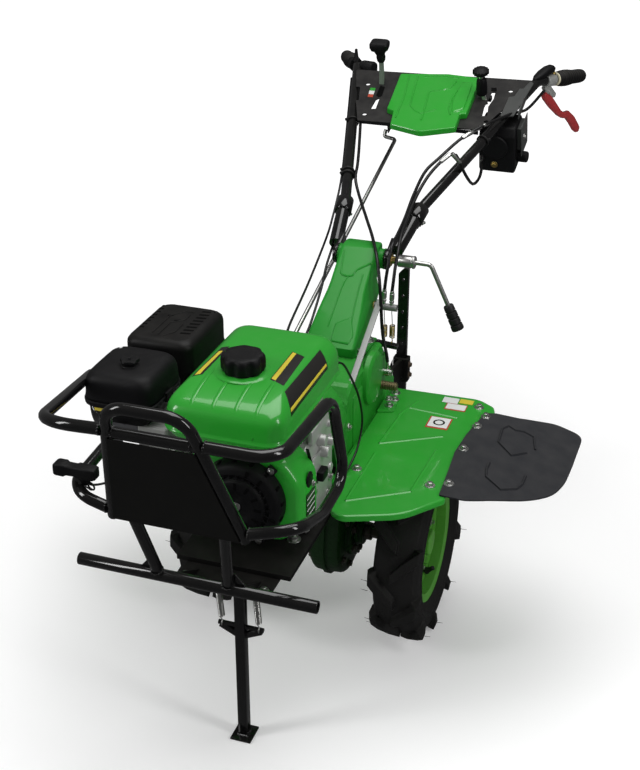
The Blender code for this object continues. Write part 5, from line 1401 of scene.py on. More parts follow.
# height, front, rear, half width, corner
column_rings = [
    (0.5892, 0.046, 0.136, 0.057, 0.01), (0.606, 0.042, 0.165, 0.055, 0.01),
    (0.6105, 0.0415, 0.172, 0.0545, 0.01), (0.633, 0.0735, 0.204, 0.0514, 0.008),
    (0.656, 0.1045, 0.246, 0.0475, 0.007), (0.66, 0.1105, 0.2505, 0.0468, 0.007),
    (0.689, 0.1515, 0.252, 0.041, 0.007), (0.7, 0.1675, 0.281, 0.04, 0.007),
    (0.72, 0.196, 0.2945, 0.04, 0.007), (0.749, 0.2375, 0.292, 0.04, 0.007),
    (0.754, 0.245, 0.289, 0.0394, 0.007), (0.7556, 0.2485, 0.2865, 0.0375, 0.006),
]
bm = bmesh.new()
shell(bm, [soft_ring((-half, half), (front, rear), z, corner, 3)
           for z, front, rear, half, corner in column_rings])
block(bm, at(0.002, 0.101, 0.5918), (0.14, 0.098, 0.005), 0.0012)
column = made(bm, "column_box", column_green, ["handlebar_column"], crease=38)
column_surface = surface_of(column)

bm = bmesh.new()
for line in (
    [(-0.03, 0.236), (-0.024, 0.2), (-0.018, 0.186), (0.004, 0.186), (0.01, 0.198), (0.036, 0.216)],
    [(-0.004, 0.183), (-0.01, 0.162), (-0.012, 0.12), (-0.014, 0.08)],
    [(0.026, 0.19), (0.027, 0.159), (0.03, 0.119), (0.034, 0.084)],
):
    along = smooth_curve([Vector((x, y, 0)) for x, y in line], 0.006)
    ridge(bm, [dropped(column_surface, p.x, p.y) for p in along], 0.003, 0.0016)
made(bm, "column_creases", column_green)


def shrunk(plan, middle, inset):
    """A flat outline with each point moved towards a middle."""
    return [point + (middle - point).normalized() * inset for point in plan]


bm = bmesh.new()
panel = filleted([(0.0, 0.052, 0.003), (0.04, 0.05, 0.003), (0.046, 0.068, 0.003), (0.03, 0.104, 0.004),
                  (0.0, 0.088, 0.003)], 4)
shell(bm, [[dropped(column_surface, p.x, p.y, lift) for p in shrunk(panel, Vector((0.022, 0.07)), inset)]
           for lift, inset in ((-0.001, 0.0), (0.0012, 0.0008), (0.0024, 0.0026), (0.0024, 0.005))])
made(bm, "column_panel", column_green)
bm = bmesh.new()
bolts(bm, [at(x, y, 0.5944) for x in (0.0605, -0.06) for y in (0.068, 0.13)], (0, 0, 1), 0.013, 0.007)
made(bm, "column_bolts", zinc_steel)

PIVOT = (0.27, 0.725)  # back from the axle, height


def serrations(bm, x, turn):
    """The ring of small teeth on a hinge disc's face."""
    for k in range(24):
        angle = 2 * pi * (k + turn) / 24
        slab(bm, at(x, PIVOT[0] + 0.0212 * cos(angle), PIVOT[1] + 0.0212 * sin(angle)),
             (0, cos(angle), sin(angle)), (1, 0, 0), (0.003, 0.0022, 0.0026), 0.0004)


for side_name, side in SIDES:
    bm = bmesh.new()
    spun(bm, [(-0.002, 0.008), (-0.002, 0.0215), (0.0095, 0.0215), (0.0112, 0.02), (0.0112, 0.008)],
         at(side * 0.04, *PIVOT), (side, 0, 0), 40)
    serrations(bm, side * 0.0505, 0)
    made(bm, f"hinge_disc_{side_name}", column_green)

# ---------------------------------------------------------------- hinge bolt and its lever
# A long brass bolt through both hinge discs, with a nut at its left end. The plated sleeve nut
# beyond it has a bent rod for a handle, which ends in a ribbed rubber grip.

brass = finish("brass", (0.62, 0.46, 0.16), 0.32, metallic=1.0, drift=0.2, spread=0.2,
               wear_colour=(0.7, 0.6, 0.3))
bm = bmesh.new()
sleeve(bm, at(0, *PIVOT), (1, 0, 0), 0.0835, 0.002, 0.0056, 20, -0.064)
bolt(bm, at(0.0652, *PIVOT), (1, 0, 0), 0.015, 0.01)
made(bm, "hinge_bolt", brass, ["pivot_bolt"])
bm = bmesh.new()
spun(bm, [(0, 0), (0, 0.0105), (0.0015, 0.013), (0.003, 0.0136), (0.03, 0.0136), (0.031, 0.0125),
          (0.0325, 0.0125), (0.0335, 0.0142), (0.037, 0.0142), (0.0385, 0.0125), (0.0385, 0)],
     at(0.0805, *PIVOT), (1, 0, 0), 12)
tube(bm, bent_route([(at(0.117, *PIVOT), 0), (at(0.153, 0.27, 0.7245), 0.014),
                     (at(0.1975, 0.27, 0.63), 0)], 8), 0.005, 16)
made(bm, "hinge_handle", zinc_steel, ["clamp_lever"])
bm = bmesh.new()
ribbed = [(0, 0), (0, 0.01), (0.002, 0.0112)]
for k in range(3):
    rib = 0.013 + 0.015 * k
    ribbed += [(rib, 0.0118 + 0.0006 * k), (rib + 0.001, 0.0098), (rib + 0.003, 0.0098),
               (rib + 0.004, 0.0124 + 0.0006 * k)]
ribbed += [(0.056, 0.014), (0.059, 0.013), (0.0605, 0.008), (0.0605, 0)]
spun(bm, ribbed, at(0.1945, 0.27, 0.6365), (0.018, 0, -0.0385), 28)
made(bm, "hinge_handle_grip", dark_rubber)

# ---------------------------------------------------------------- clutch linkage
# A flat strap from the gearbox holds a plated cross tube. The cables end there in screw adjusters
# and their wires pull a black arm through brass springs.

TUBE_Y = 0.2
bm = bmesh.new()
foot, head = at(0.081, -0.056, 0.585), at(0.064, 0.193, 0.662)
lofted(bm, [(foot.lerp(head, t), 0.0065, 0.0016) for t in (0, 0.02, 0.5, 0.98, 1.0)], (0, -0.2, 1), 16, 0.25)
sleeve(bm, at(0.0508, TUBE_Y, 0.645), (1, 0, 0), 0.0495, 0.0056, 0.0076, 28)
dull_steel = finish("dull_steel", (0.3, 0.31, 0.3), 0.5, metallic=0.6, drift=0.3,
                    spread=0.2, dust=0.05)
made(bm, "strap_and_tube", dull_steel, ["cable_bracket"])
bm = bmesh.new()
bolt(bm, at(0.05, TUBE_Y, 0.645), (-1, 0, 0), 0.01, 0.006)
for x, top, low in ((0.074, 0.601, 0.577), (0.091, 0.604, 0.576)):
    turns = 8
    wound = [at(x + 0.0052 * cos(2 * pi * turns * k / 90), TUBE_Y + 0.0052 * sin(2 * pi * turns * k / 90),
                top + (low - top) * k / 90) for k in range(91)]
    hook = [at(x, TUBE_Y + back, low - down)
            for back, down in ((0, 0.003), (0.003, 0.01), (0, 0.014), (-0.003, 0.01))]
    tube(bm, wound + hook, 0.0013, 6)
made(bm, "return_springs", brass, crease=0)
bm = bmesh.new()
for x, z in ((0.0712, 0.655), (0.0882, 0.653)):
    spun(bm, [(-0.012, 0), (-0.012, 0.0022), (-0.004, 0.0026), (-0.004, 0.0036), (0.012, 0.0042),
              (0.013, 0.0054), (0.024, 0.0054), (0.025, 0.0044), (0.03, 0.0044), (0.032, 0)],
         at(x, TUBE_Y, z), (0.02, 0, 1), 16)
    bolt(bm, at(x, TUBE_Y, z + 0.003), (0, 0, 1), 0.0095, 0.0045, washer=False)
    bolt(bm, at(x, TUBE_Y, z + 0.01), (0, 0, 1), 0.0095, 0.006, washer=False)
    tube(bm, [at(x, TUBE_Y, z - 0.008), at(x + 0.003, TUBE_Y, 0.604)], 0.0009, 8)
made(bm, "cable_adjusters", zinc_steel)
bm = bmesh.new()
slab(bm, at(0.074, TUBE_Y, 0.5575), (1, 0, -0.08), (0, 1, 0), (0.06, 0.016, 0.009), 0.0012)
block(bm, at(0.048, TUBE_Y, 0.545), (0.008, 0.014, 0.034), 0.0012)
made(bm, "clutch_arm", black_enamel)

# ---------------------------------------------------------------- oil filler and shift shaft
# A ringed brass filler plug and the shift shaft's plated clevis on the gearbox's left side, and a
# small green plate bolted on the fender beside them.

bm = bmesh.new()
for k in range(8):
    x = 0.085 + 0.005 * k
    spun(bm, [(0, 0), (0, 0.0085), (0.0008, 0.0096), (0.003, 0.0096), (0.0038, 0.0085), (0.0038, 0)],
         at(x, 0.128, 0.496), (1, 0, 0.02), 24)
    peg(bm, at(x + 0.003, 0.128, 0.496), (1, 0, 0.02), 0.002, 0.0082)
dull_brass = finish("dull_brass", (0.2, 0.16, 0.08), 0.42, metallic=0.8, drift=0.4,
                    wear_colour=(0.45, 0.38, 0.2))
made(bm, "filler_plug", dull_brass)
bm = bmesh.new()
spun(bm, [(0, 0.0062), (0, 0.0085), (0.016, 0.0085), (0.0168, 0.0072), (0.02, 0.0072), (0.021, 0.0062)],
     at(0.0862, 0.15, 0.516), (1, 0, 0), 24)
tube(bm, [at(0.096, 0.152, 0.542), at(0.096, 0.151, 0.523)], 0.003, 10)
made(bm, "shift_clevis", zinc_steel)
bm = bmesh.new()
plate = filleted([(0.09, 0.094, 0.006), (0.126, 0.108, 0.006), (0.12, 0.168, 0.006), (0.09, 0.172, 0.004)], 4)
shell(bm, [[at(p.x, p.y, z) for p in plate] for z in (0.4452, 0.4478)])
made(bm, "fender_plate", green_enamel)
bm = bmesh.new()
bolts(bm, [at(x, y, 0.448) for x, y in ((0.098, 0.158), (0.112, 0.16), (0.108, 0.13))],
      (0, 0, 1), 0.01, 0.006)
made(bm, "fender_plate_bolts", zinc_steel)

# ---------------------------------------------------------------- handlebar arms and tubes
# Black enamelled steel tube. Each arm is welded to its half of the hinge and holds the long bent
# tube in a split clamp with a bolt. Moulded rubber grips are pushed on the ends.

CLAMP = Vector((0.088, 0.42, 0.793))
BEND = Vector((0.232, 0.955, 0.958))
GRIP_END = Vector((0.318, 1.124, 0.94))
HINGE_ROOT = Vector((0.0653, *PIVOT))
TUBE_R = 0.012
TUBE_BORE = TUBE_R + 0.0002  # what is pushed or clamped on a tube
GRIP_LENGTH = 0.115
grip_way = (GRIP_END - BEND).normalized()
grip_start = GRIP_END - grip_way * GRIP_LENGTH
arm_way = (CLAMP - HINGE_ROOT).normalized()
bar_way = (BEND - CLAMP).normalized()
moulded_rubber = finish("moulded_rubber", (0.0045, 0.0045, 0.005), 0.5, specular=0.16,
                        drift=0.3, grain=0.0003, grain_scale=350, wear=0.2,
                        wear_colour=(0.07, 0.07, 0.07), dust=0.1)


def on_side(place, side):
    """A place given for the left side, moved to its own side and measured from the axle."""
    return at(side * place.x, place.y, place.z)


def way_on(direction, side):
    """A direction given for the left side, turned for its own side."""
    return Vector((side * direction.x, direction.y, direction.z))


# along the grip, radius: a bulging row of finger ribs between its rounded ends
grip_profile = [(0, 0), (0, 0.014), (0.002, 0.0158), (0.006, 0.0165)]
for k in range(9):
    rib, bulge = 0.011 + 0.0095 * k, 0.0172 + 0.003 * sin(pi * min(1.0, (k + 1.0) / 6))
    grip_profile += [(rib, bulge), (rib + 0.001, bulge + 0.0004), (rib + 0.0065, bulge + 0.0004),
                     (rib + 0.0075, bulge)]
grip_profile += [(0.099, 0.0172), (0.107, 0.0158), (0.1125, 0.0125), (0.115, 0.007), (0.1157, 0)]

for side_name, side in SIDES:
    bm = bmesh.new()
    arm_line = [HINGE_ROOT + arm_way * 0.028, CLAMP - arm_way * 0.004]
    tube(bm, [on_side(place, side) for place in arm_line], 0.0152, 28)
    spun(bm, [(0, 0.0125), (0, 0.0178), (0.0012, 0.019), (0.039, 0.019), (0.0402, 0.0178),
              (0.0402, 0.0125)], on_side(CLAMP - arm_way * 0.04, side), way_on(arm_way, side), 32)
    spun(bm, [(0, 0.0066), (0, 0.02), (0.0012, 0.0212), (0.0086, 0.0212), (0.0098, 0.02),
              (0.0098, 0.0066)], at(side * 0.0524, *PIVOT), (side, 0, 0), 40)
    serrations(bm, side * 0.0548, 0.5)
    slope = Vector((0, arm_way.y, arm_way.z)).normalized()
    slab(bm, at(side * 0.0574, *PIVOT) + slope * 0.026, slope, (1, 0, 0), (0.05, 0.0096, 0.03), 0.0015)
    # the split clamp's ears
    ear = on_side(CLAMP - arm_way * 0.02, side) + Vector((0, 0.3, -0.95)).normalized() * 0.0185
    for step in (-0.0035, 0.0035):
        slab(bm, ear + Vector((step, 0, 0)), way_on(arm_way, side), (1, 0, 0), (0.03, 0.0036, 0.02), 0.0008)
    made(bm, f"hinge_arm_{side_name}", black_enamel, [f"handle_arm_{side_name}"], "handlebar", crease=45)
    bm = bmesh.new()
    bolt(bm, ear + Vector((0.0056, 0, -0.002)), (1, 0, 0), 0.011, 0.006, stub=0.004)
    bolt(bm, ear - Vector((0.0056, 0, 0.002)), (-1, 0, 0), 0.011, 0.006)
    made(bm, f"clamp_bolt_{side_name}", zinc_steel, body="handlebar")

    bm = bmesh.new()
    corners = [(on_side(CLAMP - arm_way * 0.002, side), 0), (on_side(BEND, side), 0.07),
               (on_side(grip_start + grip_way * 0.004, side), 0)]
    tube(bm, bent_route(corners, 12), TUBE_R, 28)
    made(bm, f"bar_tube_{side_name}", black_enamel, [f"handle_tube_{side_name}"], "handlebar", crease=60)
    bm = bmesh.new()
    spun(bm, grip_profile, on_side(grip_start, side), way_on(grip_way, side), 32)
    made(bm, f"rubber_grip_{side_name}", moulded_rubber, [f"handle_grip_{side_name}"], "handlebar")

# plastic ties round the tubes and the cables beside them
bm = bmesh.new()
for side, share in ((-1, 0.16), (-1, 0.185), (-1, 0.55), (1, 0.72), (1, 0.5)):
    spot, way = on_side(CLAMP.lerp(BEND, share), side), way_on(bar_way, side)
    sleeve(bm, spot, way, 0.0045, TUBE_BORE, 0.0155)
    slab(bm, spot + Vector((side * 0.015, 0, 0.006)), (1, 0, 0.4), way, (0.008, 0.006, 0.006), 0.0008)
made(bm, "cable_ties", dark_rubber, body="handlebar", slot="black_plastic")

# ---------------------------------------------------------------- clutch lever and throttle
# A cast perch on the left tube carries the red clutch lever on a pivot screw and, above, the
# throttle's curved thumb paddle. An ivory ring sits against the grip.

lever_red = finish("lever_red", (0.36, 0.02, 0.022), 0.34, coat=0.5, coat_roughness=0.1,
                   drift=0.2, wear=0.3, wear_colour=(0.45, 0.12, 0.1))
ivory = finish("ivory", (0.66, 0.62, 0.44), 0.5)


def past_bend(along, x=0.0, y=0.0, z=0.0, side=1):
    """A place on a tube past its bend, with a step aside."""
    return on_side(BEND + grip_way * along, side) + Vector((x, y, z))


bm = bmesh.new()
spun(bm, [(0, TUBE_BORE), (0, 0.015), (0.001, 0.016), (0.033, 0.016), (0.0345, 0.015),
          (0.0345, TUBE_BORE)], past_bend(0.03), grip_way, 32)
lofted(bm, [(past_bend(0.034, z=-0.012), 0.0065, 0.012), (past_bend(0.046, z=-0.026), 0.0075, 0.012),
            (past_bend(0.064, z=-0.037), 0.007, 0.009), (past_bend(0.074, z=-0.04), 0.005, 0.006)],
       (0, 0, 1), 20, 0.5)
peg(bm, past_bend(0.047, z=-0.03), grip_way.cross(Vector((0, 0, 1))), 0.01, 0.006, 20, -0.01)
made(bm, "lever_perch", cast_alloy, body="handlebar")
bm = bmesh.new()
lofted(bm, [(at(*place), tall, wide) for place, wide, tall in (
    ((0.244, 0.983, 0.923), 0.007, 0.0075), ((0.25, 0.992, 0.913), 0.011, 0.0085),
    ((0.26, 1.012, 0.892), 0.0115, 0.008), ((0.276, 1.044, 0.86), 0.008, 0.0075),
    ((0.284, 1.058, 0.851), 0.008, 0.0075), ((0.292, 1.073, 0.85), 0.01, 0.0075),
    ((0.302, 1.092, 0.832), 0.0115, 0.0075), ((0.311, 1.108, 0.81), 0.0115, 0.007),
    ((0.3155, 1.116, 0.801), 0.0095, 0.006), ((0.3175, 1.119, 0.7975), 0.005, 0.004),
)], (0.45, 0.89, 0.3))
made(bm, "clutch_paddle", lever_red, ["clutch_lever"], "handlebar")
bm = bmesh.new()
over = (Vector((0, 0, 1)) - grip_way * grip_way.z).normalized()
spun(bm, [(0, 0), (0, 0.0095), (0.01, 0.0095), (0.012, 0.008), (0.012, 0)],
     past_bend(0.024) + over * 0.0118, over)
lofted(bm, [(at(*place), wide, high) for place, wide, high in (
    ((0.226, 0.94, 0.966), 0.004, 0.003), ((0.231, 0.95, 0.969), 0.01, 0.005),
    ((0.24, 0.968, 0.974), 0.013, 0.009), ((0.249, 0.986, 0.979), 0.013, 0.0105),
    ((0.256, 1.0, 0.981), 0.011, 0.01), ((0.26, 1.008, 0.979), 0.007, 0.006),
)], (0, 0, 1))
made(bm, "throttle_paddle", textured_plastic, ["throttle_lever"], "handlebar")
bm = bmesh.new()
sleeve(bm, on_side(grip_start - grip_way * 0.005, 1), grip_way, 0.004, TUBE_BORE, 0.0165, 28)
made(bm, "grip_ring", ivory, body="handlebar")
bm = bmesh.new()
for along, lean in ((0.036, 0.3), (0.058, -0.2)):
    way = over + Vector((-lean, 0, 0))
    bolt(bm, past_bend(along) + way.normalized() * 0.0158, way, 0.007, 0.004)
made(bm, "perch_screws", brass, body="handlebar")

# the right tube carries an empty lever mount: a round boss with a stub and a short cylinder
bm = bmesh.new()
spun(bm, [(0, TUBE_BORE), (0, 0.017), (0.0012, 0.0182), (0.024, 0.0182), (0.0252, 0.017),
          (0.0252, TUBE_BORE)], past_bend(0.022, side=-1), way_on(grip_way, -1), 28)
spun(bm, [(0, 0), (0, 0.0105), (0.004, 0.01), (0.01, 0.0055), (0.03, 0.0035), (0.032, 0)],
     past_bend(0.02, z=0.012, side=-1), (0, -0.1, 1), 20)
lofted(bm, [(past_bend(0.01, 0.016 + step, -0.006 - 0.4 * step, side=-1), wide, high) for step, wide, high in
            ((0, 0.01, 0.011), (0.002, 0.015, 0.0165), (0.03, 0.016, 0.0175),
             (0.036, 0.014, 0.015), (0.037, 0.008, 0.009))], (0, 0, 1), 24, 0.55)
made(bm, "spare_lever_mount", textured_plastic, body="handlebar")

# ---------------------------------------------------------------- control panel
# A dark steel plate screwed across the handlebars, with levers in slots, a pressed green cover over
# its middle and a folded stay to the left tube.

slope_way = Vector((0, BEND.y - CLAMP.y, BEND.z - CLAMP.z)).normalized()
rise_way = Vector((0, -slope_way.z, slope_way.y))
PANEL_T = 0.003
panel_black = finish("panel_black", (0.0065, 0.0065, 0.0078), 0.42, specular=0.14,
                     drift=0.2, grain=0.0001, grain_scale=300, wear=0.3,
                     wear_colour=(0.12, 0.12, 0.12), dust=0.1)
grey_plate = finish("grey_plate", (0.04, 0.043, 0.042), 0.42, specular=0.35, drift=0.2)


def on_panel(x, along, up=0.0):
    """A point on the handlebars' slope, up above the panel's underside."""
    place = Vector((x, CLAMP.y, CLAMP.z)) + slope_way * along + rise_way * (TUBE_R + 0.0003 + up)
    return at(*place)


def punched(bm, outlines, up):
    """A sheet with holes: an outline and its holes' outlines, filled and drawn up."""
    edges = []
    for outline in outlines:
        verts = [bm.verts.new(point) for point in outline]
        edges += [bm.edges.new(pair) for pair in zip(verts, verts[1:] + verts[:1])]
    filled = bmesh.ops.triangle_fill(bm, edges=edges, use_beauty=True, use_dissolve=False, normal=up)
    drawn_out(bm, [face for face in filled["geom"] if isinstance(face, bmesh.types.BMFace)], up)


def round_hole(x, along, radius, steps):
    """A hole's outline on a flat sheet."""
    return [(x + radius * cos(angle), along + radius * sin(angle)) for angle in spaced(steps)]


outline = filleted([
    (-0.15, 0.296, 0.006), (0.148, 0.305, 0.006), (0.226, 0.515, 0.012), (0.225, 0.538, 0.006),
    (-0.222, 0.52, 0.006), (-0.216, 0.5, 0.01), (-0.198, 0.442, 0.002), (-0.188, 0.442, 0.002),
    (-0.171, 0.384, 0.002), (-0.18, 0.381, 0.002),
], 4)
holes = [round_hole(x, along, 0.0058, 16)
         for x, along in ((-0.172, 0.458), (-0.141, 0.325), (0.183, 0.482), (0.155, 0.341))]
holes.append([(-0.132, 0.392), (-0.125, 0.402), (-0.121, 0.352), (-0.133, 0.349)])
holes.append([(0.139, 0.47), (0.1475, 0.472), (0.15, 0.44), (0.145, 0.405), (0.152, 0.366), (0.14, 0.363),
              (0.136, 0.403), (0.138, 0.44)])
bm = bmesh.new()
punched(bm, [[on_panel(*p) for p in points] for points in [outline] + holes], rise_way * PANEL_T)
# the levers' guides below, and a turned-down lip along the front
for middle in (-0.139, 0.12):
    slab(bm, on_panel(middle, 0.455, -0.006), (1, 0, 0), slope_way, (0.044, 0.014, 0.011), 0.001)
slab(bm, on_panel(-0.105, 0.398, -0.044), rise_way, (1, 0, 0), (0.088, 0.003, 0.022), 0.0008)
slab(bm, on_panel(0, 0.3025, -0.0048), (1, 0, 0), slope_way, (0.29, 0.0025, 0.01), 0.0008)
made(bm, "panel_plate", panel_black, ["control_panel"], "handlebar", crease=30)

# near-black sheets on the plate beside the levers: painted shade of the recesses and slots there
bm = bmesh.new()
for corners in ([(-0.139, 0.455), (-0.126, 0.45), (-0.122, 0.41), (-0.128, 0.402), (-0.137, 0.41)],
                [(0.133, 0.489), (0.146, 0.491), (0.15, 0.475), (0.137, 0.473)]):
    sheet(bm, [on_panel(x, s, PANEL_T + 0.0002) for x, s in reversed(corners)], 0.0004)
made(bm, "panel_recess_shade", painted_hollow_shade, body="handlebar")

bm = bmesh.new()
stay = filleted([(0.184, 0.362, 0.003), (0.214, 0.372, 0.006), (0.22, 0.42, 0.003), (0.231, 0.52, 0.006),
                 (0.222, 0.528, 0.004), (0.212, 0.492, 0.002), (0.203, 0.49, 0.002), (0.198, 0.455, 0.002),
                 (0.186, 0.45, 0.002)], 3)
punched(bm, [[on_panel(*p, 0.0035) for p in stay]], rise_way * 0.003)
slab(bm, on_panel(0.2215, 0.45, -0.005), slope_way, (1, 0, 0), (0.12, 0.003, 0.02), 0.001)
made(bm, "panel_stay", grey_plate, body="handlebar")

bm = bmesh.new()
cover_plan = filleted([
    (-0.061, 0.272, 0.006), (0.018, 0.252, 0.03), (0.096, 0.283, 0.006), (0.092, 0.341, 0.003),
    (0.107, 0.346, 0.005), (0.104, 0.508, 0.008), (0.02, 0.514, 0.03), (-0.099, 0.497, 0.008),
    (-0.088, 0.338, 0.005), (-0.07, 0.33, 0.003),
], 5)
cover_middle = Vector((0.005, 0.395))
COVER_TOP = 0.0173
shell(bm, [[on_panel(*p, up) for p in drawn_in(cover_plan, cover_middle, inset)] for up, inset in
           ((PANEL_T + 0.0003, 0.0012), (PANEL_T + 0.0003, 0.0), (0.011, 0.0), (0.0152, 0.0008),
            (0.0168, 0.0019), (COVER_TOP, 0.0028))])
made(bm, "cover_shell", green_enamel, ["panel_cover"], "handlebar", crease=16)

BEAD_W, BEAD_H = 0.0028, 0.0016
bm = bmesh.new()
for line in (
    [(-0.074, 0.492), (-0.066, 0.44), (-0.059, 0.388), (-0.055, 0.3)],
    [(-0.051, 0.49), (-0.043, 0.42), (-0.035, 0.358), (-0.018, 0.338), (-0.002, 0.328), (0.031, 0.349)],
    [(0.048, 0.479), (0.041, 0.448), (0.016, 0.434), (-0.006, 0.424), (0, 0.38), (0.005, 0.336),
     (0.008, 0.3)],
    [(0.066, 0.48), (0.06, 0.44), (0.056, 0.398), (0.06, 0.36), (0.07, 0.333)],
    [(-0.036, 0.491), (0.01, 0.5), (0.05, 0.497)],
):
    points = [Vector(point) for point in line]
    rings = []
    for i, point in enumerate(points):
        along = along_at(points, i)
        across = Vector((-along.y, along.x)) * BEAD_W
        rings.append([on_panel(*(point + across * share), COVER_TOP + up) for share, up in
                      ((-1, -BEAD_H / 2), (-0.35, BEAD_H), (0.35, BEAD_H), (1, -BEAD_H / 2))])
    shell(bm, rings)
raised = filleted([(0.064, 0.478, 0.012), (0.09, 0.486, 0.012), (0.097, 0.36, 0.012), (0.072, 0.336, 0.012),
                   (0.058, 0.4, 0.01)], 5)
shell(bm, [[on_panel(*p, up) for p in shrunk(raised, Vector((0.078, 0.41)), inset)]
           for up, inset in ((0.0165, 0.0), (0.019, 0.002), (0.0202, 0.005), (0.0202, 0.009))])
made(bm, "cover_relief", green_enamel, body="handlebar", crease=50)

# a small blank sticker in three bands beside the gear lever's slot
for band, (near, far, material, slot) in enumerate((
        (0.4, 0.413, red_vinyl, None), (0.413, 0.429, white_vinyl, "cast_alloy"),
        (0.429, 0.442, green_enamel, None))):
    low_x, high_x = -0.156 - 0.12 * (near - 0.4), -0.156 - 0.12 * (far - 0.4)
    label(f"panel_sticker_{band}", [on_panel(x, along, PANEL_T + 0.0002) for x, along in (
        (low_x, near), (low_x + 0.0135, near), (high_x + 0.0135, far), (high_x, far))],
        material, body="handlebar", slot=slot)

# ---------------------------------------------------------------- levers and control box
# A flat bar with a moulded knob selects gears. A fluted cap and grip on a plated stem work the
# other lever. The moulded control box hangs below the panel.

bm = bmesh.new()
lofted(bm, [(on_panel(*place), wide, 0.0022) for place, wide in (
    ((-0.139, 0.462, -0.004), 0.0065), ((-0.138, 0.468, 0.02), 0.0065), ((-0.139, 0.476, 0.062), 0.006))],
       slope_way, 12, 0.3)
grey_green = finish("grey_green_bar", (0.2, 0.26, 0.2), 0.4, metallic=0.4)
made(bm, "gear_lever_bar", grey_green, body="handlebar")
bm = bmesh.new()
spun(bm, [(0, 0), (0, 0.0085), (0.004, 0.0105), (0.012, 0.0115), (0.02, 0.0105), (0.024, 0.0085), (0.026, 0)],
     on_panel(-0.139, 0.475, 0.06), rise_way)
lofted(bm, [(on_panel(x, 0.475, up), wide, high) for x, up, wide, high in (
    (-0.139, 0.08, 0.01, 0.009), (-0.139, 0.09, 0.015, 0.012), (-0.139, 0.095, 0.0215, 0.016),
    (-0.14, 0.103, 0.024, 0.0175), (-0.14, 0.11, 0.0235, 0.017), (-0.14, 0.1135, 0.0205, 0.0145),
    (-0.14, 0.1145, 0.015, 0.01))], (0, 0.3, -0.1), 28, 0.4)
made(bm, "gear_knob", textured_plastic, ["gear_lever"], "handlebar")

bm = bmesh.new()
lofted(bm, [(on_panel(*place), wide, 0.0022) for place, wide in (
    ((0.133, 0.43, -0.008), 0.006), ((0.128, 0.436, 0.008), 0.006), ((0.124, 0.44, 0.018), 0.0055))],
       slope_way, 12, 0.3)
spun(bm, [(0, 0), (0, 0.006), (0.01, 0.0052), (0.012, 0)], on_panel(0.12, 0.44, 0.058), rise_way, 18)
made(bm, "side_lever_stem", zinc_steel, body="handlebar")
bm = bmesh.new()
spun(bm, [(0, 0), (0, 0.01), (0.003, 0.013), (0.008, 0.0138), (0.032, 0.0128), (0.042, 0.0115),
          (0.045, 0.009), (0.046, 0)], on_panel(0.1215, 0.44, 0.013), rise_way, 28)
spun(bm, [(0, 0), (0, 0.01), (0.004, 0.017), (0.01, 0.019), (0.014, 0.018), (0.018, 0.012), (0.02, 0)],
     on_panel(0.12, 0.44, 0.066), rise_way, 32)
for angle in spaced(14):
    way = Vector((cos(angle), 0, 0)) + slope_way * sin(angle)
    slab(bm, on_panel(0.12, 0.44, 0.0755) + way * 0.0182, rise_way, way, (0.009, 0.0035, 0.004), 0.001)
made(bm, "side_lever_grip", textured_plastic, ["side_lever"], "handlebar")

BOX_TOP = -2 * TUBE_R - 0.0006
BOX_X = 0.1943


def on_box(x, along, down):
    """A point from the control box's middle line, down from its top."""
    return on_panel(BOX_X + x, along, BOX_TOP - down)


bm = bmesh.new()
# along the panel's slope, height above the panel, corner radius
side_plan = filleted([
    (0.346, BOX_TOP - 0.118, 0.008), (0.437, BOX_TOP - 0.118, 0.012), (0.437, BOX_TOP - 0.006, 0.008),
    (0.425, BOX_TOP, 0.006), (0.366, BOX_TOP, 0.012), (0.352, BOX_TOP - 0.02, 0.012),
], 5)
box_middle = Vector((0.395, BOX_TOP - 0.052))
box_layers = ((-0.0605, 0.005), (-0.0585, 0.0015), (-0.0555, 0), (0.0225, 0), (0.0255, 0.0015),
              (0.0275, 0.005))  # across, drawn in
shell(bm, [[on_panel(BOX_X + x, *p) for p in shrunk(side_plan, box_middle, inset)]
           for x, inset in box_layers])
made(bm, "box_shell", textured_plastic, ["control_box"], "handlebar", crease=40)
bm = bmesh.new()
for x, size in ((0.039, (0.068, 0.082, 0.002)), (0.031, (0.05, 0.06, 0.017))):
    slab(bm, on_box(x, 0.404, 0.04), slope_way, rise_way, size, 0.0008)
made(bm, "box_side_plate", grey_plate, body="handlebar")
bm = bmesh.new()
spun(bm, [(0, 0), (0, 0.012), (0.002, 0.014), (0.026, 0.0135), (0.028, 0.012), (0.028, 0)],
     on_box(0.024, 0.385, 0.09), (1, -0.1, 0), 28)
spun(bm, [(0, 0), (0, 0.03), (0.003, 0.032), (0.006, 0.03), (0.007, 0)], on_box(-0.02, 0.348, 0.045),
     -slope_way, 40)
made(bm, "box_knob", textured_plastic, body="handlebar")
for name, place, way, across, material in (
    ("box_screw", on_box(-0.022, 0.3462, 0.095), -slope_way, 0.009, brass),
    ("panel_screws", on_box(0.04, 0.395, 0.04), (1, 0, 0), 0.008, zinc_steel),
):
    bm = bmesh.new()
    bolt(bm, place, way, across, 0.004)
    made(bm, name, material, body="handlebar")

# ---------------------------------------------------------------- shift rod
# Bright round rod, cranked at its top into the lever's plate and hooked on the gearbox's eye below.

SHIFT_EYE = (-0.1063, 0.06, 0.56)
bm = bmesh.new()
sleeve(bm, at(*SHIFT_EYE), (1, 0, 0), 0.0095, 0.005, 0.0088, 24, -0.0095)
corners = [(at(-0.1063, 0.069, 0.564), 0), (at(-0.1063, 0.08, 0.568), 0.008),
           (at(-0.088, 0.818, 0.819), 0.008), (at(-0.118, 0.82, 0.8235), 0.006), (at(-0.115, 0.826, 0.84), 0)]
tube(bm, bent_route(corners, 6), 0.0048, 16)
made(bm, "shift_linkage", zinc_steel, ["shift_rod"], "shifter", crease=60)

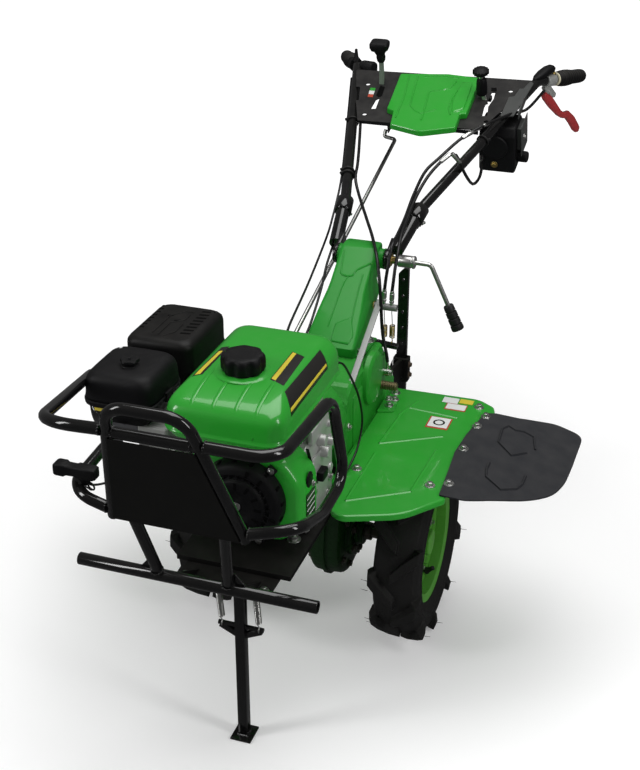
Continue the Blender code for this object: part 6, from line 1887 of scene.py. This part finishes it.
# ---------------------------------------------------------------- control cables
# Wire ropes in smooth black sleeves from the handlebar's levers to the gearbox and engine. Plated
# ferrules and elbows end the sleeves.

glossy_sleeve = finish("glossy_sleeve", (0.006, 0.006, 0.0065), 0.3, specular=0.35,
                       drift=0.2, rounding=0.0001, wear=0.0, dust=0.02)


def crossing_cord(name, points, step, radius, sides, replaces=()):
    """A cord from the chassis up to the handlebar, across the hinge, on no body."""
    bm = bmesh.new()
    cord(bm, points, step, radius, sides)
    piece = made(bm, name, glossy_sleeve, replaces, None, crease=0)
    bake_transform(piece)


CABLE_R = 0.0037
# each cable's sleeve: the space between its points, its radius, its route
cable_runs = {
    "clutch_cable": (0.01184, CABLE_R, [
        (0.2473, 0.9805, 0.931), (0.2252, 0.885, 0.9076), (0.2092, 0.795, 0.9192), (0.199, 0.76, 0.9214),
        (0.1602, 0.686, 0.9136), (0.1222, 0.64, 0.894), (0.0839, 0.585, 0.8589), (0.0629, 0.54, 0.8369),
        (0.0619, 0.45, 0.8113), (0.0682, 0.36, 0.7889), (0.0728, 0.29, 0.7783), (0.0758, 0.235, 0.7705),
        (0.0747, 0.212, 0.7338), (0.0729, 0.202, 0.701), (0.0715, 0.2, 0.68)]),
    "side_cable": (0.01184, CABLE_R, [
        (0.144, 0.772, 0.805), (0.1499, 0.74, 0.7843), (0.1501, 0.71, 0.7737), (0.1494, 0.66, 0.7796),
        (0.1502, 0.6, 0.8109), (0.1439, 0.56, 0.8489), (0.1309, 0.55, 0.881), (0.1171, 0.54, 0.8826),
        (0.1023, 0.525, 0.8692), (0.0831, 0.49, 0.8443), (0.0737, 0.43, 0.816), (0.077, 0.34, 0.7906),
        (0.0818, 0.285, 0.778), (0.0879, 0.24, 0.7567), (0.0893, 0.215, 0.7278), (0.0895, 0.204, 0.7025),
        (0.0882, 0.2, 0.68)]),
    "gear_cable": (0.01152, 0.0036, [
        (-0.208, 0.925, 0.946), (-0.199, 0.9, 0.942), (-0.17, 0.79, 0.912), (-0.143, 0.7, 0.883),
        (-0.1145, 0.6, 0.853), (-0.1002, 0.545, 0.8348), (-0.0905, 0.5, 0.8186), (-0.07, 0.46, 0.7964),
        (-0.023, 0.37, 0.7745), (0.0149, 0.29, 0.7665), (0.0463, 0.22, 0.752), (0.0641, 0.185, 0.7134),
        (0.0712, 0.175, 0.6682), (0.0796, 0.165, 0.6007), (0.093, 0.153, 0.558), (0.096, 0.152, 0.54)]),
    "throttle_cable": (0.00576, 0.0026, [
        (-0.2308, 0.9, 0.941), (-0.1768, 0.7, 0.8785), (-0.1365, 0.55, 0.8335), (-0.12, 0.48, 0.809),
        (-0.114, 0.44, 0.788), (-0.1075, 0.39, 0.764), (-0.099, 0.32, 0.738), (-0.0696, 0.12, 0.715),
        (-0.043, -0.06, 0.706), (-0.038, -0.115, 0.69), (-0.06, -0.135, 0.635),
        (-0.078, -0.175, 0.588), (-0.08, -0.214, 0.578)]),
}
for name, (step, radius, points) in cable_runs.items():
    crossing_cord(f"{name}_sleeve", points, step, radius, 12, [name])

# ferrules on the two sleeves that cross in front of the left tube, and elbows where they end
CORE_R = 0.0024
bm = bmesh.new()
for low, high, wide in (((0.1222, 0.64, 0.894), (0.1602, 0.686, 0.9136), 0.0046),
                        ((0.1602, 0.686, 0.9136), (0.181, 0.724, 0.918), 0.0034)):
    start, way = at(*low), at(*high) - at(*low)
    far = way.length
    spun(bm, [(0, CORE_R), (0, wide), (0.002, wide + 0.0006), (far * 0.5, wide + 0.0006),
              (far * 0.52, wide), (far * 0.9, wide * 0.9), (far * 0.92, CORE_R)], start, way, 18)
for low, high in (((0.1171, 0.54, 0.8826), (0.1023, 0.525, 0.8692)),
                  ((0.125, 0.545, 0.883), (0.14, 0.556, 0.862))):
    start, way = at(*low), at(*high) - at(*low)
    spun(bm, [(-0.004, CORE_R), (-0.004, 0.0044), (0, 0.0052), (way.length, 0.0048), (way.length, CORE_R)],
         start, way, 18)
spun(bm, [(0, CORE_R), (0, 0.004), (0.01, 0.0052), (0.02, 0.0052), (0.021, CORE_R)],
     at(0.144, 0.766, 0.801), (-0.003, 0.018, 0.011), 18)
made(bm, "cable_ferrules", zinc_steel, body="handlebar")

# one wire runs along the right tube, past the hinge and down, and a lead down the engine's side
crossing_cord("wiring", [
    (-0.2, 0.88, 0.926), (-0.168, 0.75, 0.888), (-0.133, 0.62, 0.85), (-0.108, 0.52, 0.814),
    (-0.096, 0.47, 0.796), (-0.086, 0.39, 0.762), (-0.079, 0.32, 0.736), (-0.074, 0.248, 0.704),
    (-0.07, 0.201, 0.668), (-0.064, 0.117, 0.625), (-0.066, 0.08, 0.602)], 0.01, 0.0028, 10)
bm = bmesh.new()
cord(bm, [(0.08, -0.185, 0.69), (0.095, -0.158, 0.68), (0.1, -0.12, 0.635), (0.108, -0.098, 0.59),
          (0.112, -0.085, 0.55), (0.112, -0.078, 0.51), (0.112, -0.11, 0.47), (0.108, -0.17, 0.45),
          (0.098, -0.23, 0.448)], 0.008, 0.0024)
made(bm, "engine_lead", glossy_sleeve, crease=0)

# ---------------------------------------------------------------- drag bar and holder
# A flat bar with adjusting holes, pointed below and chamfered above. It stands in a welded sleeve
# behind the gearbox, held by two bolts, with a gusset forward.

BAR_X, BAR_Y = 0.0525, 0.426
BAR_HALF_W, BAR_HALF_T = 0.0118, 0.0058
BAR_LOW, BAR_HIGH = 0.2352, 0.6448
side_points = [(0.001, BAR_LOW), (BAR_HALF_W - 0.002, BAR_LOW + 0.024), (BAR_HALF_W, BAR_LOW + 0.03)]
outline = [(-x, z) for x, z in reversed(side_points)] + side_points
outline += [(BAR_HALF_W, BAR_HIGH - 0.002), (BAR_HALF_W - 0.002, BAR_HIGH), (0.001, BAR_HIGH),
            (-BAR_HALF_W, BAR_HIGH - 0.014)]
holes = [round_hole(0, 0.617 - 0.04 * i, 0.0034, 20) for i in range(8)]
bm = bmesh.new()
punched(bm, [[at(BAR_X + x, BAR_Y - BAR_HALF_T, z) for x, z in points] for points in [outline] + holes],
        Vector((0, 2 * BAR_HALF_T, 0)))
made(bm, "drag_bar_plate", black_enamel, ["drag_bar"], "drag", crease=30)

BORE_X, BORE_Y = 0.0123, 0.0063
WALL = 0.006
bm = bmesh.new()
# height, wall, corner: up the outside of the sleeve, and back down its bore
loops = []
for z, wall, corner in ((0.3602, 0, 0.0008), (0.3602, WALL - 0.001, 0.0025), (0.3612, WALL, 0.0025),
                        (0.419, WALL, 0.0025), (0.4199, WALL - 0.001, 0.0025), (0.4199, 0, 0.0008)):
    ring = soft_ring((BAR_X - BORE_X - wall, BAR_X + BORE_X + wall),
                     (BAR_Y - BORE_Y - wall, BAR_Y + BORE_Y + wall), z, corner, 3)
    verts = [bm.verts.new(point) for point in ring]
    loops.append([bm.edges.new(pair) for pair in zip(verts, verts[1:] + verts[:1])])
for first, second in zip(loops, loops[1:] + loops[:1]):
    bmesh.ops.bridge_loops(bm, edges=first + second)
gusset = [(0.2503, 0.385), (0.2503, 0.445), (0.414, 0.4175), (0.414, 0.37)]
punched(bm, [[at(BAR_X - 0.004, y, z) for y, z in gusset]], Vector((0.008, 0, 0)))
block(bm, at(BAR_X, 0.2535, 0.415), (0.044, 0.006, 0.072), 0.001)
brace = [(0.006, 0.3), (0.006, 0.338), (0.034, 0.415), (0.0345, 0.3)]
punched(bm, [[at(x, 0.408, z) for x, z in brace]], Vector((0, 0.006, 0)))
made(bm, "bar_holder", satin_black, ["drag_bar_holder"])
rusty_steel = finish("rusty_steel", (0.085, 0.055, 0.035), 0.65, metallic=0.5, drift=0.7,
                     drift_scale=60, grain=0.0003)
bm = bmesh.new()
bolts(bm, [at(BAR_X + 0.0185, BAR_Y, z) for z in (0.402, 0.376)], (1, 0, 0), 0.009)
made(bm, "holder_bolts", rusty_steel)
